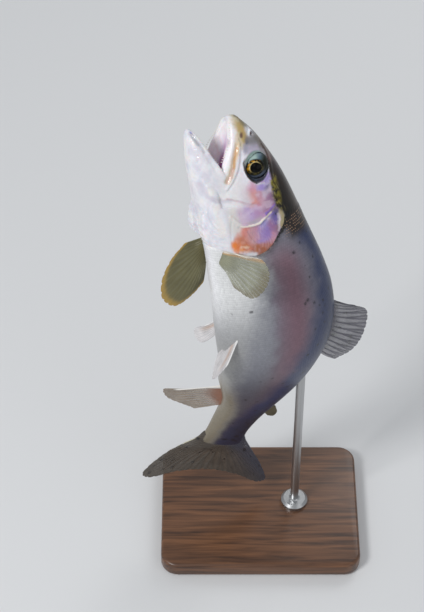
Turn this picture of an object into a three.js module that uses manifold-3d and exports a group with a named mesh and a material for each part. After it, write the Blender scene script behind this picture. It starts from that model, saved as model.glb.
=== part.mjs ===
// A rainbow trout, 388 mm from snout to tail fin, held head up on a small display stand.
//
// The fish is first built straight, with its snout at the origin, +X ahead, +Y to its left and
// +Z to its back, and is parted there with thin cuts. Then every piece is bent along one curved
// spine and set over the stand. Lengths are millimetres; "s" is the distance back from the snout.

import * as THREE from "three";
import { mergeVertices } from "three/addons/utils/BufferGeometryUtils.js";
import Module from "manifold-3d";

const wasm = await Module();
wasm.setup();

// ---------------------------------------------------------------- driving dimensions

const totalLength = 390;
const fleshEnd = 350;
const headEnd = 88;
const trunkEnd = 244;
const gap = 0.3;

// Outlines of the straight fish: [distance back from the snout, height or half width].
const backLine = [
  [0, -3.4], [1.5, -0.4], [5.5, 2.6], [15.8, 9.2], [31, 15.8], [48, 21.8], [65, 26], [82, 29.5],
  [102, 33.8], [125, 39.4], [150, 44.6], [170, 46.2], [190, 44.4], [215, 38.6], [240, 32.2], [274, 24.2],
  [308, 18.8], [328, 17.2], [340, 18], [350, 20],
];
// The lip as far as the corner of the mouth, then the cheek, and the throat and belly behind it.
const lowLine = [
  [0, -6.6], [1.5, -7.8], [4.2, -9.2], [8, -10.9], [12.4, -13.2], [16, -16.2], [20, -20], [24, -23.2],
  [30, -27.4], [36, -31.4], [48, -38], [62, -43.8], [76, -45.4], [90, -46], [120, -48], [154, -48.8], [178, -47],
  [205, -42.4], [225, -39], [240, -35], [256, -29], [274, -22.4], [290, -19.2], [308, -17.8], [328, -17],
  [340, -18], [350, -20],
];
// How much higher the left lip hangs than the right one, each side of the low line.
const lipLean = [[0, 0], [6, 0.2], [11, 0.8], [20, 1.3], [27, 0.9], [38, 0], [350, 0]];
const halfWidth = [
  [0, 1.6], [1.5, 5], [4.2, 8.4], [9, 11.8], [15, 14.6], [22, 16.8], [30, 18.2], [40, 19.4], [50, 20.8],
  [65, 22.6], [80, 23], [95, 23.6], [120, 25.2], [150, 25.6], [178, 24.6], [205, 22.2], [239, 17.8],
  [274, 13], [308, 8.6], [328, 6], [340, 3.8], [350, 1.2],
];
// Height of the widest level, and how boxy a section is: 1 is an ellipse, less is squarer.
const beltLine = [[0, -5.2], [5, -6.4], [20, -9], [40, -8.6], [80, -7], [120, -2], [200, 0], [342, 0]];
const sideFullness = [[0, 0.8], [40, 0.84], [75, 0.9], [120, 0.94], [342, 0.94]];
const lowFullness = [[0, 0.4], [30, 0.45], [50, 0.6], [75, 0.82], [342, 0.88]];
const topFullness = 0.95;

// The throat under the cheeks, between the two halves of the jaw.
const throatLine = [[16, -41], [26, -43.4], [40, -44], [62, -44.6], [80, -44]];
const throatHalfWidth = [[16, 5], [26, 12], [42, 17.4], [62, 20], [80, 20]];

// The lower jaw, hung open: its rim, its underside and its half width.
const jawTip = -0.9;
const jawLength = 56;
const jawRim = [
  [-0.9, -36], [0.6, -34.2], [6.4, -31.4], [11.4, -29.8], [19, -27.6], [27, -24.6], [47, -20], [56, -20],
];
const jawUnderside = [[-0.9, -37], [1, -38.6], [7, -40.4], [19, -42.6], [31, -43.6], [44, -42], [56, -38]];
const jawHalfWidth = [
  [-0.9, 1.6], [0.6, 4.6], [3, 7], [6.4, 9.4], [11.4, 12], [19, 14.8], [27, 17], [40, 18.8], [56, 19],
];

// The mouth: palate, floor and half width of the hollow.
const mouthStart = -5;
const mouthEnd = 72;
const palate = [
  [-5, -9.6], [1, -9.4], [6, -8.9], [10, -8.4], [16, -8.6], [22, -10.4], [32, -14], [48, -18], [72, -24],
];
const mouthFloor = [[-5, -32], [1, -33.2], [6, -36], [14, -38], [30, -38.6], [48, -36], [72, -29]];
const mouthHalfWidth = [
  [-5, 4.4], [1, 5.8], [6, 9.4], [12, 12], [18, 13.8], [26, 14.8], [36, 14.4], [50, 11], [72, 4],
];

const eye = { back: 36.6, side: 12, up: 1.2, radius: 9.8, depth: 8 };
// The dished rim of skin that an eye sits in.
const orbit = { back: 36, side: 21.4, up: 0.5, length: 10.9, height: 9.3, depth: 6 };

const coverThickness = 2.4;
// Side view of a gill cover, from the top front corner round its rear edge to the throat.
const gillCoverOutline = [
  [64, 6], [73, 10.5], [81, 9.4], [86.5, 3], [91.6, -2.6], [95.2, -9], [96.2, -16], [94.6, -23], [91, -29],
  [88, -35], [84, -42], [76, -48.4], [66, -47.6], [57, -44], [56.5, -30], [58.5, -12], [60.5, 0],
];
const coverHalfWidth = [[48, 20.6], [60, 22.6], [72, 24.4], [84, 25.8], [92, 27], [100, 27.6]];
const coverLow = [[48, -44], [60, -50], [72, -55], [84, -56], [100, -56]];
const coverBelt = -14;

const maxillaOutline = [
  [12, -6], [19, -8.4], [27, -12.6], [34, -17.4], [41, -22.6], [41.6, -25.8], [38, -27], [30, -22.6],
  [23, -17.4], [17, -13.4], [11.6, -10.6],
];
const maxillaDepth = 1.4;
const maxillaProud = 0.5;

const tongue = { start: 9, end: 40, halfWidth: 5.4, top: -32.4 };

// The spine: head attitude, then bend and twist in degrees per 100 mm at the knots.
const spineStep = 2;
const snoutPlace = new THREE.Vector3(-23.9, 44.9, 414);
const headYaw = 124.2;
const headPitch = -66;
const headRoll = 79.6;
const bendKnots = [75, 137, 198, 260, 315, 360];
const sideBend = [0, 24.4, 35.6, 7.1, -22.9, -32.6];
const backBend = [0, -11.8, -12.2, -6.8, -3.8, -0.2];
const twist = [0, 0, -8.1, -14.3, -4.8, 3.7];

const standBase = { length: 164, width: 124, height: 14, corner: 14, bevel: 2.5 };
const standRod = { x: 29, y: 4, radius: 3.5, top: 215, footRadius: 11, footHeight: 5 };

const around = 26;

const colours = {
  back: 0x56603f, flank: 0x9a93a2, cheek: 0xd9a3b0, white: 0xe6e4e6, fin: 0x8a8468, tongue: 0xd9bcc4,
  eye: 0xb08a3a, wood: 0x6b4a30, steel: 0x9a9ca0,
};

// ---------------------------------------------------------------- helpers

// A smooth curve through the points of an outline, with no overshoot between them.
function curve(points) {
  const last = points.length - 1;
  const slopes = [];
  for (let i = 0; i < last; i += 1) {
    slopes.push((points[i + 1][1] - points[i][1]) / (points[i + 1][0] - points[i][0]));
  }
  const tangents = points.map((point, i) => {
    if (i === 0) return slopes[0];
    if (i === last) return slopes[last - 1];
    const before = slopes[i - 1];
    const after = slopes[i];
    return before * after <= 0 ? 0 : (2 * before * after) / (before + after);
  });
  return (s) => {
    if (s <= points[0][0]) return points[0][1];
    if (s >= points[last][0]) return points[last][1];
    let i = 0;
    while (s > points[i + 1][0]) i += 1;
    const span = points[i + 1][0] - points[i][0];
    const t = (s - points[i][0]) / span;
    const a = points[i][1] * (2 * t ** 3 - 3 * t ** 2 + 1) + points[i + 1][1] * (3 * t ** 2 - 2 * t ** 3);
    const b = tangents[i] * (t ** 3 - 2 * t ** 2 + t) + tangents[i + 1] * (t ** 3 - t ** 2);
    return a + b * span;
  };
}

const shaped = (value, power) => Math.sign(value) * Math.abs(value) ** power;

// One closed ring: top and bottom heights, half width, widest level, three fullnesses, and how much
// higher the bottom is on the left than in the middle.
function ring(s, top, bottom, side, belt, fullSide, fullTop, fullLow, count = around, lean = 0) {
  const points = [];
  for (let i = 0; i < count; i += 1) {
    const angle = (2 * Math.PI * i) / count;
    const up = Math.cos(angle);
    const out = Math.sin(angle);
    const y = side * shaped(out, fullSide);
    const low = bottom + lean * out;
    const z = belt + (up > 0 ? (top - belt) * shaped(up, fullTop) : (belt - low) * shaped(up, fullLow));
    points.push(new THREE.Vector3(-s, y, z));
  }
  return points;
}

// A closed solid through a list of rings, with flat ends.
function loft(rings) {
  const size = rings[0].length;
  const positions = [];
  const index = [];
  rings.flat().forEach((point) => positions.push(point.x, point.y, point.z));
  for (let r = 0; r < rings.length - 1; r += 1) {
    for (let i = 0; i < size; i += 1) {
      const a = r * size + i;
      const b = r * size + ((i + 1) % size);
      index.push(a, b, a + size, b, b + size, a + size);
    }
  }
  [0, rings.length - 1].forEach((r) => {
    const centre = rings[r].reduce((sum, point) => sum.add(point), new THREE.Vector3()).divideScalar(size);
    const middle = positions.length / 3;
    positions.push(centre.x, centre.y, centre.z);
    for (let i = 0; i < size; i += 1) {
      const a = r * size + i;
      const b = r * size + ((i + 1) % size);
      index.push(...(r === 0 ? [middle, b, a] : [middle, a, b]));
    }
  });
  const geometry = new THREE.BufferGeometry();
  geometry.setAttribute("position", new THREE.Float32BufferAttribute(positions, 3));
  geometry.setIndex(index);
  return geometry;
}

function spread(from, to, count) {
  return Array.from({ length: count }, (unused, i) => from + ((to - from) * i) / (count - 1));
}

function toSolid(geometry) {
  const bare = geometry.clone();
  bare.deleteAttribute("normal");
  bare.deleteAttribute("uv");
  const merged = mergeVertices(bare, 1e-4);
  const mesh = new wasm.Mesh({
    numProp: 3,
    vertProperties: new Float32Array(merged.attributes.position.array),
    triVerts: new Uint32Array(merged.index.array),
  });
  return new wasm.Manifold(mesh);
}

function toGeometry(solid) {
  const mesh = solid.getMesh();
  const geometry = new THREE.BufferGeometry();
  geometry.setAttribute("position", new THREE.Float32BufferAttribute(Array.from(mesh.vertProperties), 3));
  geometry.setIndex(Array.from(mesh.triVerts));
  return geometry;
}

// A side-view outline [back, up] as a slab through the fish, between two distances to its left.
function slab(outline, from, to) {
  const shape = new THREE.Shape(outline.map(([s, z]) => new THREE.Vector2(-s, z)));
  const geometry = new THREE.ExtrudeGeometry(shape, { depth: to - from, bevelEnabled: false, steps: 1 });
  geometry.rotateX(Math.PI / 2);
  geometry.translate(0, to, 0);
  return toSolid(geometry);
}

// The outline with every corner moved outwards by a distance.
function grown(outline, distance) {
  const area = outline.reduce((sum, [x, y], i) => {
    const [nextX, nextY] = outline[(i + 1) % outline.length];
    return sum + x * nextY - nextX * y;
  }, 0);
  const side = Math.sign(area);
  return outline.map(([x, y], i) => {
    const [beforeX, beforeY] = outline[(i + outline.length - 1) % outline.length];
    const [afterX, afterY] = outline[(i + 1) % outline.length];
    const alongIn = new THREE.Vector2(x - beforeX, y - beforeY).normalize();
    const alongOut = new THREE.Vector2(afterX - x, afterY - y).normalize();
    const outIn = new THREE.Vector2(alongIn.y, -alongIn.x).multiplyScalar(side);
    const outOut = new THREE.Vector2(alongOut.y, -alongOut.x).multiplyScalar(side);
    const out = outIn.clone().add(outOut).normalize();
    const reach = distance / Math.max(0.5, out.dot(outIn));
    return [x + out.x * reach, y + out.y * reach];
  });
}

const mirrored = (solid) => solid.mirror([0, 1, 0]);

// ---------------------------------------------------------------- forms of the straight fish

const headStations = [0, 1, 3, 6.5, 11, 15, 19, 24, 30, 38, 47, 57, 68, 79];
const bodyStations = [...spread(90, 246, 13), ...spread(259, 324, 5), 334, 342, fleshEnd];

// The body with its skin moved out by a distance, or in where it is negative.
function bodyForm(stations, out) {
  const top = curve(backLine);
  const low = curve(lowLine);
  const side = curve(halfWidth);
  const belt = curve(beltLine);
  const full = curve(sideFullness);
  const fullLow = curve(lowFullness);
  const lean = curve(lipLean);
  return toSolid(loft(stations.map((s) => ring(
    s, top(s) + out, low(s) - out, side(s) + out, belt(s), full(s), topFullness, fullLow(s), around, lean(s),
  ))));
}

function jawForm() {
  const rim = curve(jawRim);
  const underside = curve(jawUnderside);
  const side = curve(jawHalfWidth);
  return toSolid(loft([jawTip, -0.2, 1.4, 4, 8, 13, 20, 28, 38, jawLength].map((s) => (
    ring(s, rim(s), underside(s), side(s), rim(s) - 1.6, 0.9, 0.35, 0.85, 20)
  ))));
}

function throatForm() {
  const low = curve(throatLine);
  const side = curve(throatHalfWidth);
  return toSolid(loft([16, 21, 28, 38, 50, 63, 80].map((s) => (
    ring(s, low(s) + 16, low(s), side(s), low(s) + 11, 0.85, 0.8, 0.8, 20)
  ))));
}

function mouthForm(inset) {
  const roof = curve(palate);
  const floor = curve(mouthFloor);
  const side = curve(mouthHalfWidth);
  return toSolid(loft([mouthStart, 1, 5, 10, 16, 24, 34, 50, mouthEnd].map((s) => {
    const middle = (roof(s) + floor(s)) / 2;
    return ring(s, roof(s) - inset, floor(s) + inset, side(s) - inset, middle, 0.9, 0.9, 0.9, 20);
  })));
}

function coverForm(inset) {
  const top = curve(backLine);
  const side = curve(coverHalfWidth);
  const low = curve(coverLow);
  return toSolid(loft([48, 57, 66, 75, 84, 91, 100].map((s) => (
    ring(s, top(s) + 1 - inset, low(s) + inset, side(s) - inset, coverBelt, 0.8, 0.9, 0.75)
  ))));
}

function ball(centre, radii) {
  const geometry = new THREE.SphereGeometry(1, 16, 10);
  geometry.rotateZ(Math.PI / 2);
  geometry.rotateX(Math.PI / 2);
  geometry.scale(...radii);
  geometry.translate(...centre);
  return toSolid(geometry);
}

function eyeForm(side, out) {
  return ball([-eye.back, eye.side * side, eye.up], [eye.radius + out, eye.depth + out, eye.radius + out]);
}

function orbitForm(side) {
  return ball([-orbit.back, orbit.side * side, orbit.up], [orbit.length, orbit.depth, orbit.height]);
}

// ---------------------------------------------------------------- fins

// A thin closed sheet: point(u, v) is its middle surface, u from front ray to rear ray and v from
// base to tip, and thickness(v) its full thickness there.
function sheet(columns, rows, point, thickness) {
  const positions = [];
  const index = [];
  const step = 1e-3;
  const count = (columns + 1) * (rows + 1);
  [1, -1].forEach((face) => {
    for (let i = 0; i <= columns; i += 1) {
      for (let j = 0; j <= rows; j += 1) {
        const u = i / columns;
        const v = j / rows;
        const here = point(u, v);
        const alongU = point(Math.min(u + step, 1), v).sub(point(Math.max(u - step, 0), v));
        const alongV = point(u, Math.min(v + step, 1)).sub(point(u, Math.max(v - step, 0)));
        const normal = alongU.cross(alongV).normalize();
        here.addScaledVector(normal, (face * thickness(v)) / 2);
        positions.push(here.x, here.y, here.z);
      }
    }
  });
  const at = (i, j, face) => i * (rows + 1) + j + (face < 0 ? count : 0);
  const quad = (a, b, c, d) => index.push(a, b, c, a, c, d);
  for (let i = 0; i < columns; i += 1) {
    for (let j = 0; j < rows; j += 1) {
      quad(at(i, j, 1), at(i + 1, j, 1), at(i + 1, j + 1, 1), at(i, j + 1, 1));
      quad(at(i, j, -1), at(i, j + 1, -1), at(i + 1, j + 1, -1), at(i + 1, j, -1));
    }
    quad(at(i, 0, -1), at(i + 1, 0, -1), at(i + 1, 0, 1), at(i, 0, 1));
    quad(at(i, rows, 1), at(i + 1, rows, 1), at(i + 1, rows, -1), at(i, rows, -1));
  }
  for (let j = 0; j < rows; j += 1) {
    quad(at(0, j, -1), at(0, j, 1), at(0, j + 1, 1), at(0, j + 1, -1));
    quad(at(columns, j, 1), at(columns, j, -1), at(columns, j + 1, -1), at(columns, j + 1, 1));
  }
  const geometry = new THREE.BufferGeometry();
  geometry.setAttribute("position", new THREE.Float32BufferAttribute(positions, 3));
  geometry.setIndex(index);
  return toSolid(geometry);
}

// A fin from its base line and the tips of its rays: each of the four lists is a few points
// [back, left, up] that a smooth curve runs through.
function fin({ base, tips, columns, rows, root, edge, sweep = 0 }) {
  const place = ([s, y, z]) => new THREE.Vector3(-s, y, z);
  const baseCurve = new THREE.CatmullRomCurve3(base.map(place));
  const tipCurve = new THREE.CatmullRomCurve3(tips.map(place));
  const point = (u, v) => {
    const start = baseCurve.getPoint(u);
    const end = tipCurve.getPoint(u);
    const middle = start.clone().lerp(end, v);
    middle.y += sweep * Math.sin(Math.PI * v);
    return middle;
  };
  return sheet(columns, rows, point, (v) => root + (edge - root) * Math.min(1, v * 1.6));
}

const dorsalFin = {
  base: [[162, 0, 40], [185, 0, 39], [208, 0, 34]],
  tips: [[176, 0, 64], [184, 0, 76], [203, 0, 76], [219, 0, 69], [228, 0, 58]],
  columns: 9, rows: 6, root: 3.4, edge: 0.9, sweep: 2,
};
const adiposeFin = {
  base: [[281, 0, 20], [289, 0, 19], [294, 0, 17]],
  tips: [[289, 0, 28], [297, 0, 32], [303, 0, 31], [303, 0, 26]],
  columns: 6, rows: 4, root: 3, edge: 1.4,
};
const analFin = {
  base: [[252, 0, -24], [268, 0, -20], [285, 0, -15]],
  tips: [[262, -3, -62], [266, -4, -71], [280, -3, -66], [292, -2, -50], [299, 0, -37]],
  columns: 8, rows: 6, root: 3, edge: 0.9,
};
const tailFin = {
  base: [[334, 0, 16], [344, 0, 8], [346, 0, 0], [344, 0, -8], [334, 0, -16]],
  tips: [[350, 0, 28], [368, 0, 43], [386, 0, 53], [389, 0, 47], [382, 0, 26], [378, 0, 0], [382, 0, -27],
    [390, 0, -49], [388, 0, -55], [368, 0, -44], [350, 0, -28]],
  columns: 16, rows: 5, root: 4.6, edge: 0.9,
};
const pelvicFinLeft = {
  base: [[161, 16, -35], [170, 9, -41]],
  tips: [[183, 21, -47], [200, 19, -53], [205, 15, -53], [201, 8, -50], [188, 5, -47]],
  columns: 7, rows: 5, root: 3, edge: 0.9,
};
const pelvicFinRight = {
  base: [[165, -13, -38], [173, -8, -41]],
  tips: [[183, -23, -47], [197, -29, -52], [202, -26, -53], [200, -18, -52], [190, -11, -49]],
  columns: 7, rows: 5, root: 3, edge: 0.9,
};
const pectoralFinLeft = {
  base: [[89, 16, -36], [98, 14, -41]],
  tips: [[90, 36, -28], [90, 49, -21], [97, 55, -20], [108, 52, -24], [116, 45, -33], [112, 30, -40]],
  columns: 8, rows: 6, root: 3.4, edge: 0.9,
};
const pectoralFinRight = {
  base: [[89, -16, -36], [98, -14, -41]],
  tips: [[90, -21, -54], [101, -25, -65], [122, -30, -75], [145, -32, -76], [154, -30, -69], [145, -26, -57],
    [131, -22, -46]],
  columns: 9, rows: 6, root: 3.4, edge: 0.9,
};

// ---------------------------------------------------------------- the straight fish, parted

const slabReach = 40;
const coverBed = slab(grown(gillCoverOutline, gap), 6, slabReach).subtract(coverForm(coverThickness + gap));
const coverLeft = slab(gillCoverOutline, 6, slabReach)
  .intersect(coverForm(0))
  .subtract(coverForm(coverThickness));
const coverClearance = slab(grown(gillCoverOutline, gap), 6, slabReach).intersect(coverForm(-gap));

const plateStations = [0, 2, 5, 9, 14, 20, 27, 35, 44, 55];
const maxillaBed = slab(grown(maxillaOutline, gap), 4, slabReach)
  .subtract(bodyForm(plateStations, -maxillaDepth - gap));
const maxillaLeft = slab(maxillaOutline, 4, slabReach)
  .intersect(bodyForm(plateStations, maxillaProud))
  .subtract(bodyForm(plateStations, -maxillaDepth));

// Side view of the lower jaw and the skin that hangs with it.
const jawOutline = [
  [-8, -26], [16, -26], [26.6, -25], [40, -25.4], [50, -28.4], [50.6, -32.6], [42, -38.6], [32, -48],
  [-8, -48],
];

function bothSides(solid) {
  return solid.add(mirrored(solid));
}

const eyeBeds = bothSides(eyeForm(1, gap).add(orbitForm(1)));
const whole = bodyForm([...headStations, ...bodyStations], 0)
  .add(jawForm())
  .add(throatForm())
  .subtract(mouthForm(0))
  .subtract(eyeBeds)
  .subtract(bothSides(coverBed))
  .subtract(bothSides(maxillaBed));

function length(from, to) {
  const box = new THREE.BoxGeometry(to - from, 200, 240);
  box.translate(-(from + to) / 2, 0, 0);
  return toSolid(box);
}

const headWithJaw = whole.intersect(length(-20, headEnd - gap / 2));
const lowerJaw = headWithJaw.intersect(slab(jawOutline, -slabReach, slabReach));
const head = headWithJaw.subtract(slab(grown(jawOutline, gap), -slabReach, slabReach));
const trunk = whole.intersect(length(headEnd + gap / 2, trunkEnd - gap / 2));
const tail = whole.intersect(length(trunkEnd + gap / 2, fleshEnd + 1));

// What a fin's root is cut back to: the skin, with the gill covers and the throat.
const clearance = bodyForm([...headStations, ...bodyStations], gap).add(bothSides(coverClearance));
const fins = {
  dorsal_fin: fin(dorsalFin).subtract(clearance),
  adipose_fin: fin(adiposeFin).subtract(clearance),
  anal_fin: fin(analFin).subtract(clearance),
  caudal_fin: fin(tailFin).subtract(clearance),
  pelvic_fin_left: fin(pelvicFinLeft).subtract(clearance),
  pelvic_fin_right: fin(pelvicFinRight).subtract(clearance),
  pectoral_fin_left: fin(pectoralFinLeft).subtract(clearance),
  pectoral_fin_right: fin(pectoralFinRight).subtract(clearance),
};

function tongueForm() {
  const { start, end, halfWidth: wide } = tongue;
  const side = curve([[start, 2], [start + 4, 4.6], [end - 8, wide], [end, 4]]);
  const body = toSolid(loft(spread(start, end, 7).map((s) => (
    ring(s, tongue.top, tongue.top - 12, side(s), tongue.top - 4, 0.9, 0.8, 0.8, 12)
  ))));
  return body.intersect(mouthForm(gap + 0.1));
}

// ---------------------------------------------------------------- the bent spine

const degrees = THREE.MathUtils.degToRad;

function knotValue(values, s) {
  if (s <= bendKnots[0]) return 0;
  const last = bendKnots.length - 1;
  if (s >= bendKnots[last]) return values[last];
  let i = 0;
  while (s > bendKnots[i + 1]) i += 1;
  const t = (s - bendKnots[i]) / (bendKnots[i + 1] - bendKnots[i]);
  return values[i] + (values[i + 1] - values[i]) * t;
}

function turn(s, length) {
  const perMillimetre = degrees(1) / 100;
  const rate = new THREE.Vector3(knotValue(twist, s), knotValue(backBend, s), knotValue(sideBend, s));
  const angle = rate.length() * perMillimetre * length;
  return new THREE.Quaternion().setFromAxisAngle(rate.clone().normalize(), angle);
}

const frames = [{
  place: snoutPlace.clone(),
  attitude: new THREE.Quaternion().setFromEuler(
    new THREE.Euler(degrees(headRoll), degrees(headPitch), degrees(headYaw), "ZYX"),
  ),
}];
for (let s = 0; s < totalLength + 20; s += spineStep) {
  const before = frames[frames.length - 1];
  const middle = s + spineStep / 2;
  const halfWay = before.attitude.clone().multiply(turn(middle, spineStep / 2));
  const ahead = new THREE.Vector3(1, 0, 0).applyQuaternion(halfWay);
  frames.push({
    place: before.place.clone().addScaledVector(ahead, -spineStep),
    attitude: before.attitude.clone().multiply(turn(middle, spineStep)),
  });
}

function bendPoint(point) {
  const s = -point.x;
  const i = Math.min(Math.max(Math.floor(s / spineStep), 0), frames.length - 2);
  const t = s / spineStep - i;
  const place = frames[i].place.clone().lerp(frames[i + 1].place, t);
  const attitude = frames[i].attitude.clone().slerp(frames[i + 1].attitude, Math.max(t, 0));
  return new THREE.Vector3(0, point.y, point.z).applyQuaternion(attitude).add(place);
}

function bent(geometry) {
  const places = geometry.attributes.position;
  for (let i = 0; i < places.count; i += 1) {
    const point = bendPoint(new THREE.Vector3().fromBufferAttribute(places, i));
    places.setXYZ(i, point.x, point.y, point.z);
  }
  return geometry;
}

// ---------------------------------------------------------------- the stand

function roundedPlate({ length, width, height, corner, bevel }) {
  const x = length / 2 - bevel;
  const y = width / 2 - bevel;
  const r = corner;
  const shape = new THREE.Shape();
  shape.moveTo(-x + r, -y);
  shape.lineTo(x - r, -y);
  shape.absarc(x - r, -y + r, r, -Math.PI / 2, 0);
  shape.lineTo(x, y - r);
  shape.absarc(x - r, y - r, r, 0, Math.PI / 2);
  shape.lineTo(-x + r, y);
  shape.absarc(-x + r, y - r, r, Math.PI / 2, Math.PI);
  shape.lineTo(-x, -y + r);
  shape.absarc(-x + r, -y + r, r, Math.PI, 1.5 * Math.PI);
  const geometry = new THREE.ExtrudeGeometry(shape, {
    depth: height - 2 * bevel, bevelEnabled: true, bevelSize: bevel, bevelThickness: bevel,
    bevelSegments: 1, curveSegments: 4,
  });
  geometry.translate(0, 0, bevel);
  return geometry;
}

function rodForm() {
  const bottom = standBase.height + gap;
  const { radius, top, footRadius, footHeight } = standRod;
  const profile = [
    [0, bottom], [footRadius, bottom], [footRadius, bottom + footHeight - 2],
    [footRadius - 2, bottom + footHeight], [radius + 1, bottom + footHeight],
    [radius, bottom + footHeight + 1], [radius, top], [0, top],
  ].map(([r, z]) => new THREE.Vector2(r, z));
  const geometry = new THREE.LatheGeometry(profile, 16);
  geometry.rotateX(Math.PI / 2);
  geometry.translate(standRod.x, standRod.y, 0);
  return toSolid(geometry);
}

// ---------------------------------------------------------------- the model

const model = new THREE.Group();

function addPiece(name, geometry, color, roughness, metalness) {
  const piece = geometry.index ? geometry.toNonIndexed() : geometry.clone();
  piece.computeVertexNormals();
  const mesh = new THREE.Mesh(piece, new THREE.MeshStandardMaterial({ color, roughness, metalness }));
  mesh.name = name;
  model.add(mesh);
}

function bentSolid(solid) {
  return toSolid(bent(toGeometry(solid)));
}

function addFlesh(name, solid, color) {
  addPiece(name, bent(toGeometry(solid)), color, 0.35, 0);
}

addFlesh("head", head, colours.cheek);
addFlesh("lower_jaw", lowerJaw, colours.white);
addFlesh("tongue", tongueForm(), colours.tongue);
addFlesh("maxilla_left", maxillaLeft, colours.white);
addFlesh("maxilla_right", mirrored(maxillaLeft), colours.white);
addFlesh("gill_cover_left", coverLeft, colours.cheek);
addFlesh("gill_cover_right", mirrored(coverLeft), colours.cheek);
addFlesh("eye_left", eyeForm(1, 0), colours.eye);
addFlesh("eye_right", eyeForm(-1, 0), colours.eye);
addFlesh("trunk", trunk, colours.flank);
addFlesh("tail", tail, colours.back);
Object.entries(fins).forEach(([name, solid]) => addFlesh(name, solid, colours.fin));

addPiece("stand_base", roundedPlate(standBase), colours.wood, 0.5, 0);
addPiece("stand_rod", toGeometry(rodForm().subtract(bentSolid(clearance))), colours.steel, 0.35, 1);

export default model;
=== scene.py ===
import math

import bpy
import numpy as np
from mathutils import Euler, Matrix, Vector


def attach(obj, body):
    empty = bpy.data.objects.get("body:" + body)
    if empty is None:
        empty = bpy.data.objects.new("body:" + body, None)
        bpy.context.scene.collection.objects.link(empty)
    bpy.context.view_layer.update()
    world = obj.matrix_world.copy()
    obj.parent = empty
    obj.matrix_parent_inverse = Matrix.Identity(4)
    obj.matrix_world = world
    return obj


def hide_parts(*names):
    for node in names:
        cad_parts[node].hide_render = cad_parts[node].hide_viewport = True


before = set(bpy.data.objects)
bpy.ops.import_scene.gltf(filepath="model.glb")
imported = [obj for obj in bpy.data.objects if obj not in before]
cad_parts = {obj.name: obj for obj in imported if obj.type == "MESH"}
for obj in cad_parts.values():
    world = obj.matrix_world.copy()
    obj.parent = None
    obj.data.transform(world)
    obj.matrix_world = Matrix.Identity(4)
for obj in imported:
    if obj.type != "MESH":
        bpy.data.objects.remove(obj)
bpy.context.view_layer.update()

print("frame loaded:", len(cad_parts), "nodes")

# Lengths are millimetres until bendFish turns them into metres: s is the distance back from the
# snout, y is to the fish's left and z towards its back.

cameraView = {"target": (-0.04004, -0.055, 0.32405), "distance": 1.3, "elevation": 48.0, "lens": 109.79}


def addCamera():
    tilt = math.radians(cameraView["elevation"])
    x, y, z = cameraView["target"]
    back = cameraView["distance"] * math.cos(tilt)
    up = cameraView["distance"] * math.sin(tilt)
    bpy.ops.object.camera_add(location=(x, y - back, z + up), rotation=(math.pi / 2 - tilt, 0, 0))
    camera = bpy.context.active_object
    camera.name = "viewCamera"
    camera.data.lens = cameraView["lens"]
    bpy.context.scene.camera = camera


addCamera()

def pick(piece):
    bpy.ops.object.select_all(action="DESELECT")
    piece.select_set(True)
    bpy.context.view_layer.objects.active = piece


def justMade(name):
    piece = bpy.context.active_object
    piece.name = name
    return piece


def newPiece(name, points, edges, faces):
    mesh = bpy.data.meshes.new(name)
    mesh.from_pydata(points, edges, faces)
    piece = bpy.data.objects.new(name, mesh)
    bpy.context.scene.collection.objects.link(piece)
    return piece


def readVectors(items, name):
    values = np.empty(len(items) * 3)
    items.foreach_get(name, values)
    return values.reshape(-1, 3)


def pointsOf(piece):
    return readVectors(piece.data.vertices, "co")


def normalsOf(piece):
    return readVectors(piece.data.vertex_normals, "vector")


def setPoints(piece, spots):
    piece.data.vertices.foreach_set("co", np.asarray(spots, float).ravel())
    piece.data.update()


def cornersOf(piece):
    # the vertex at each corner of the faces, in the order of a UV map
    corners = np.empty(len(piece.data.loops), int)
    piece.data.loops.foreach_get("vertex_index", corners)
    return corners


def applyModifier(piece, kind, **settings):
    pick(piece)
    modifier = piece.modifiers.new(kind.lower(), kind)
    for name, value in settings.items():
        setattr(modifier, name, value)
    bpy.ops.object.modifier_apply(modifier=modifier.name)


def cutWith(piece, tool, operation):
    applyModifier(piece, "BOOLEAN", object=tool, operation=operation, solver="MANIFOLD")
    bpy.data.objects.remove(tool)


def editMesh(piece, *steps):
    pick(piece)
    bpy.ops.object.mode_set(mode="EDIT")
    bpy.ops.mesh.select_all(action="SELECT")
    for step in steps:
        step()
    bpy.ops.object.mode_set(mode="OBJECT")


def outward():
    bpy.ops.mesh.select_all(action="SELECT")
    bpy.ops.mesh.normals_make_consistent(inside=False)


def closeUp():
    bpy.ops.mesh.remove_doubles(threshold=1e-4)
    bpy.ops.mesh.select_all(action="DESELECT")
    bpy.ops.mesh.select_non_manifold()
    bpy.ops.mesh.fill_holes(sides=0)
    outward()


def mirroredCopy(piece, name):
    pick(piece)
    bpy.ops.object.duplicate()
    twin = justMade(name)
    setPoints(twin, pointsOf(twin) * (1, -1, 1))
    editMesh(twin, outward)
    return twin


def smoothShade(piece, angle=180):
    pick(piece)
    bpy.ops.object.shade_smooth()
    if angle < 180:
        bpy.ops.object.shade_smooth_by_angle(angle=math.radians(angle))


def ramp(x, low, high):
    t = np.clip((x - low) / (high - low), 0, 1)
    return t * t * (3 - 2 * t)


def fall(x, low, high):
    return 1 - ramp(x, low, high)


def hump(x, width):
    return np.exp(-((x / width) ** 2))


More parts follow.
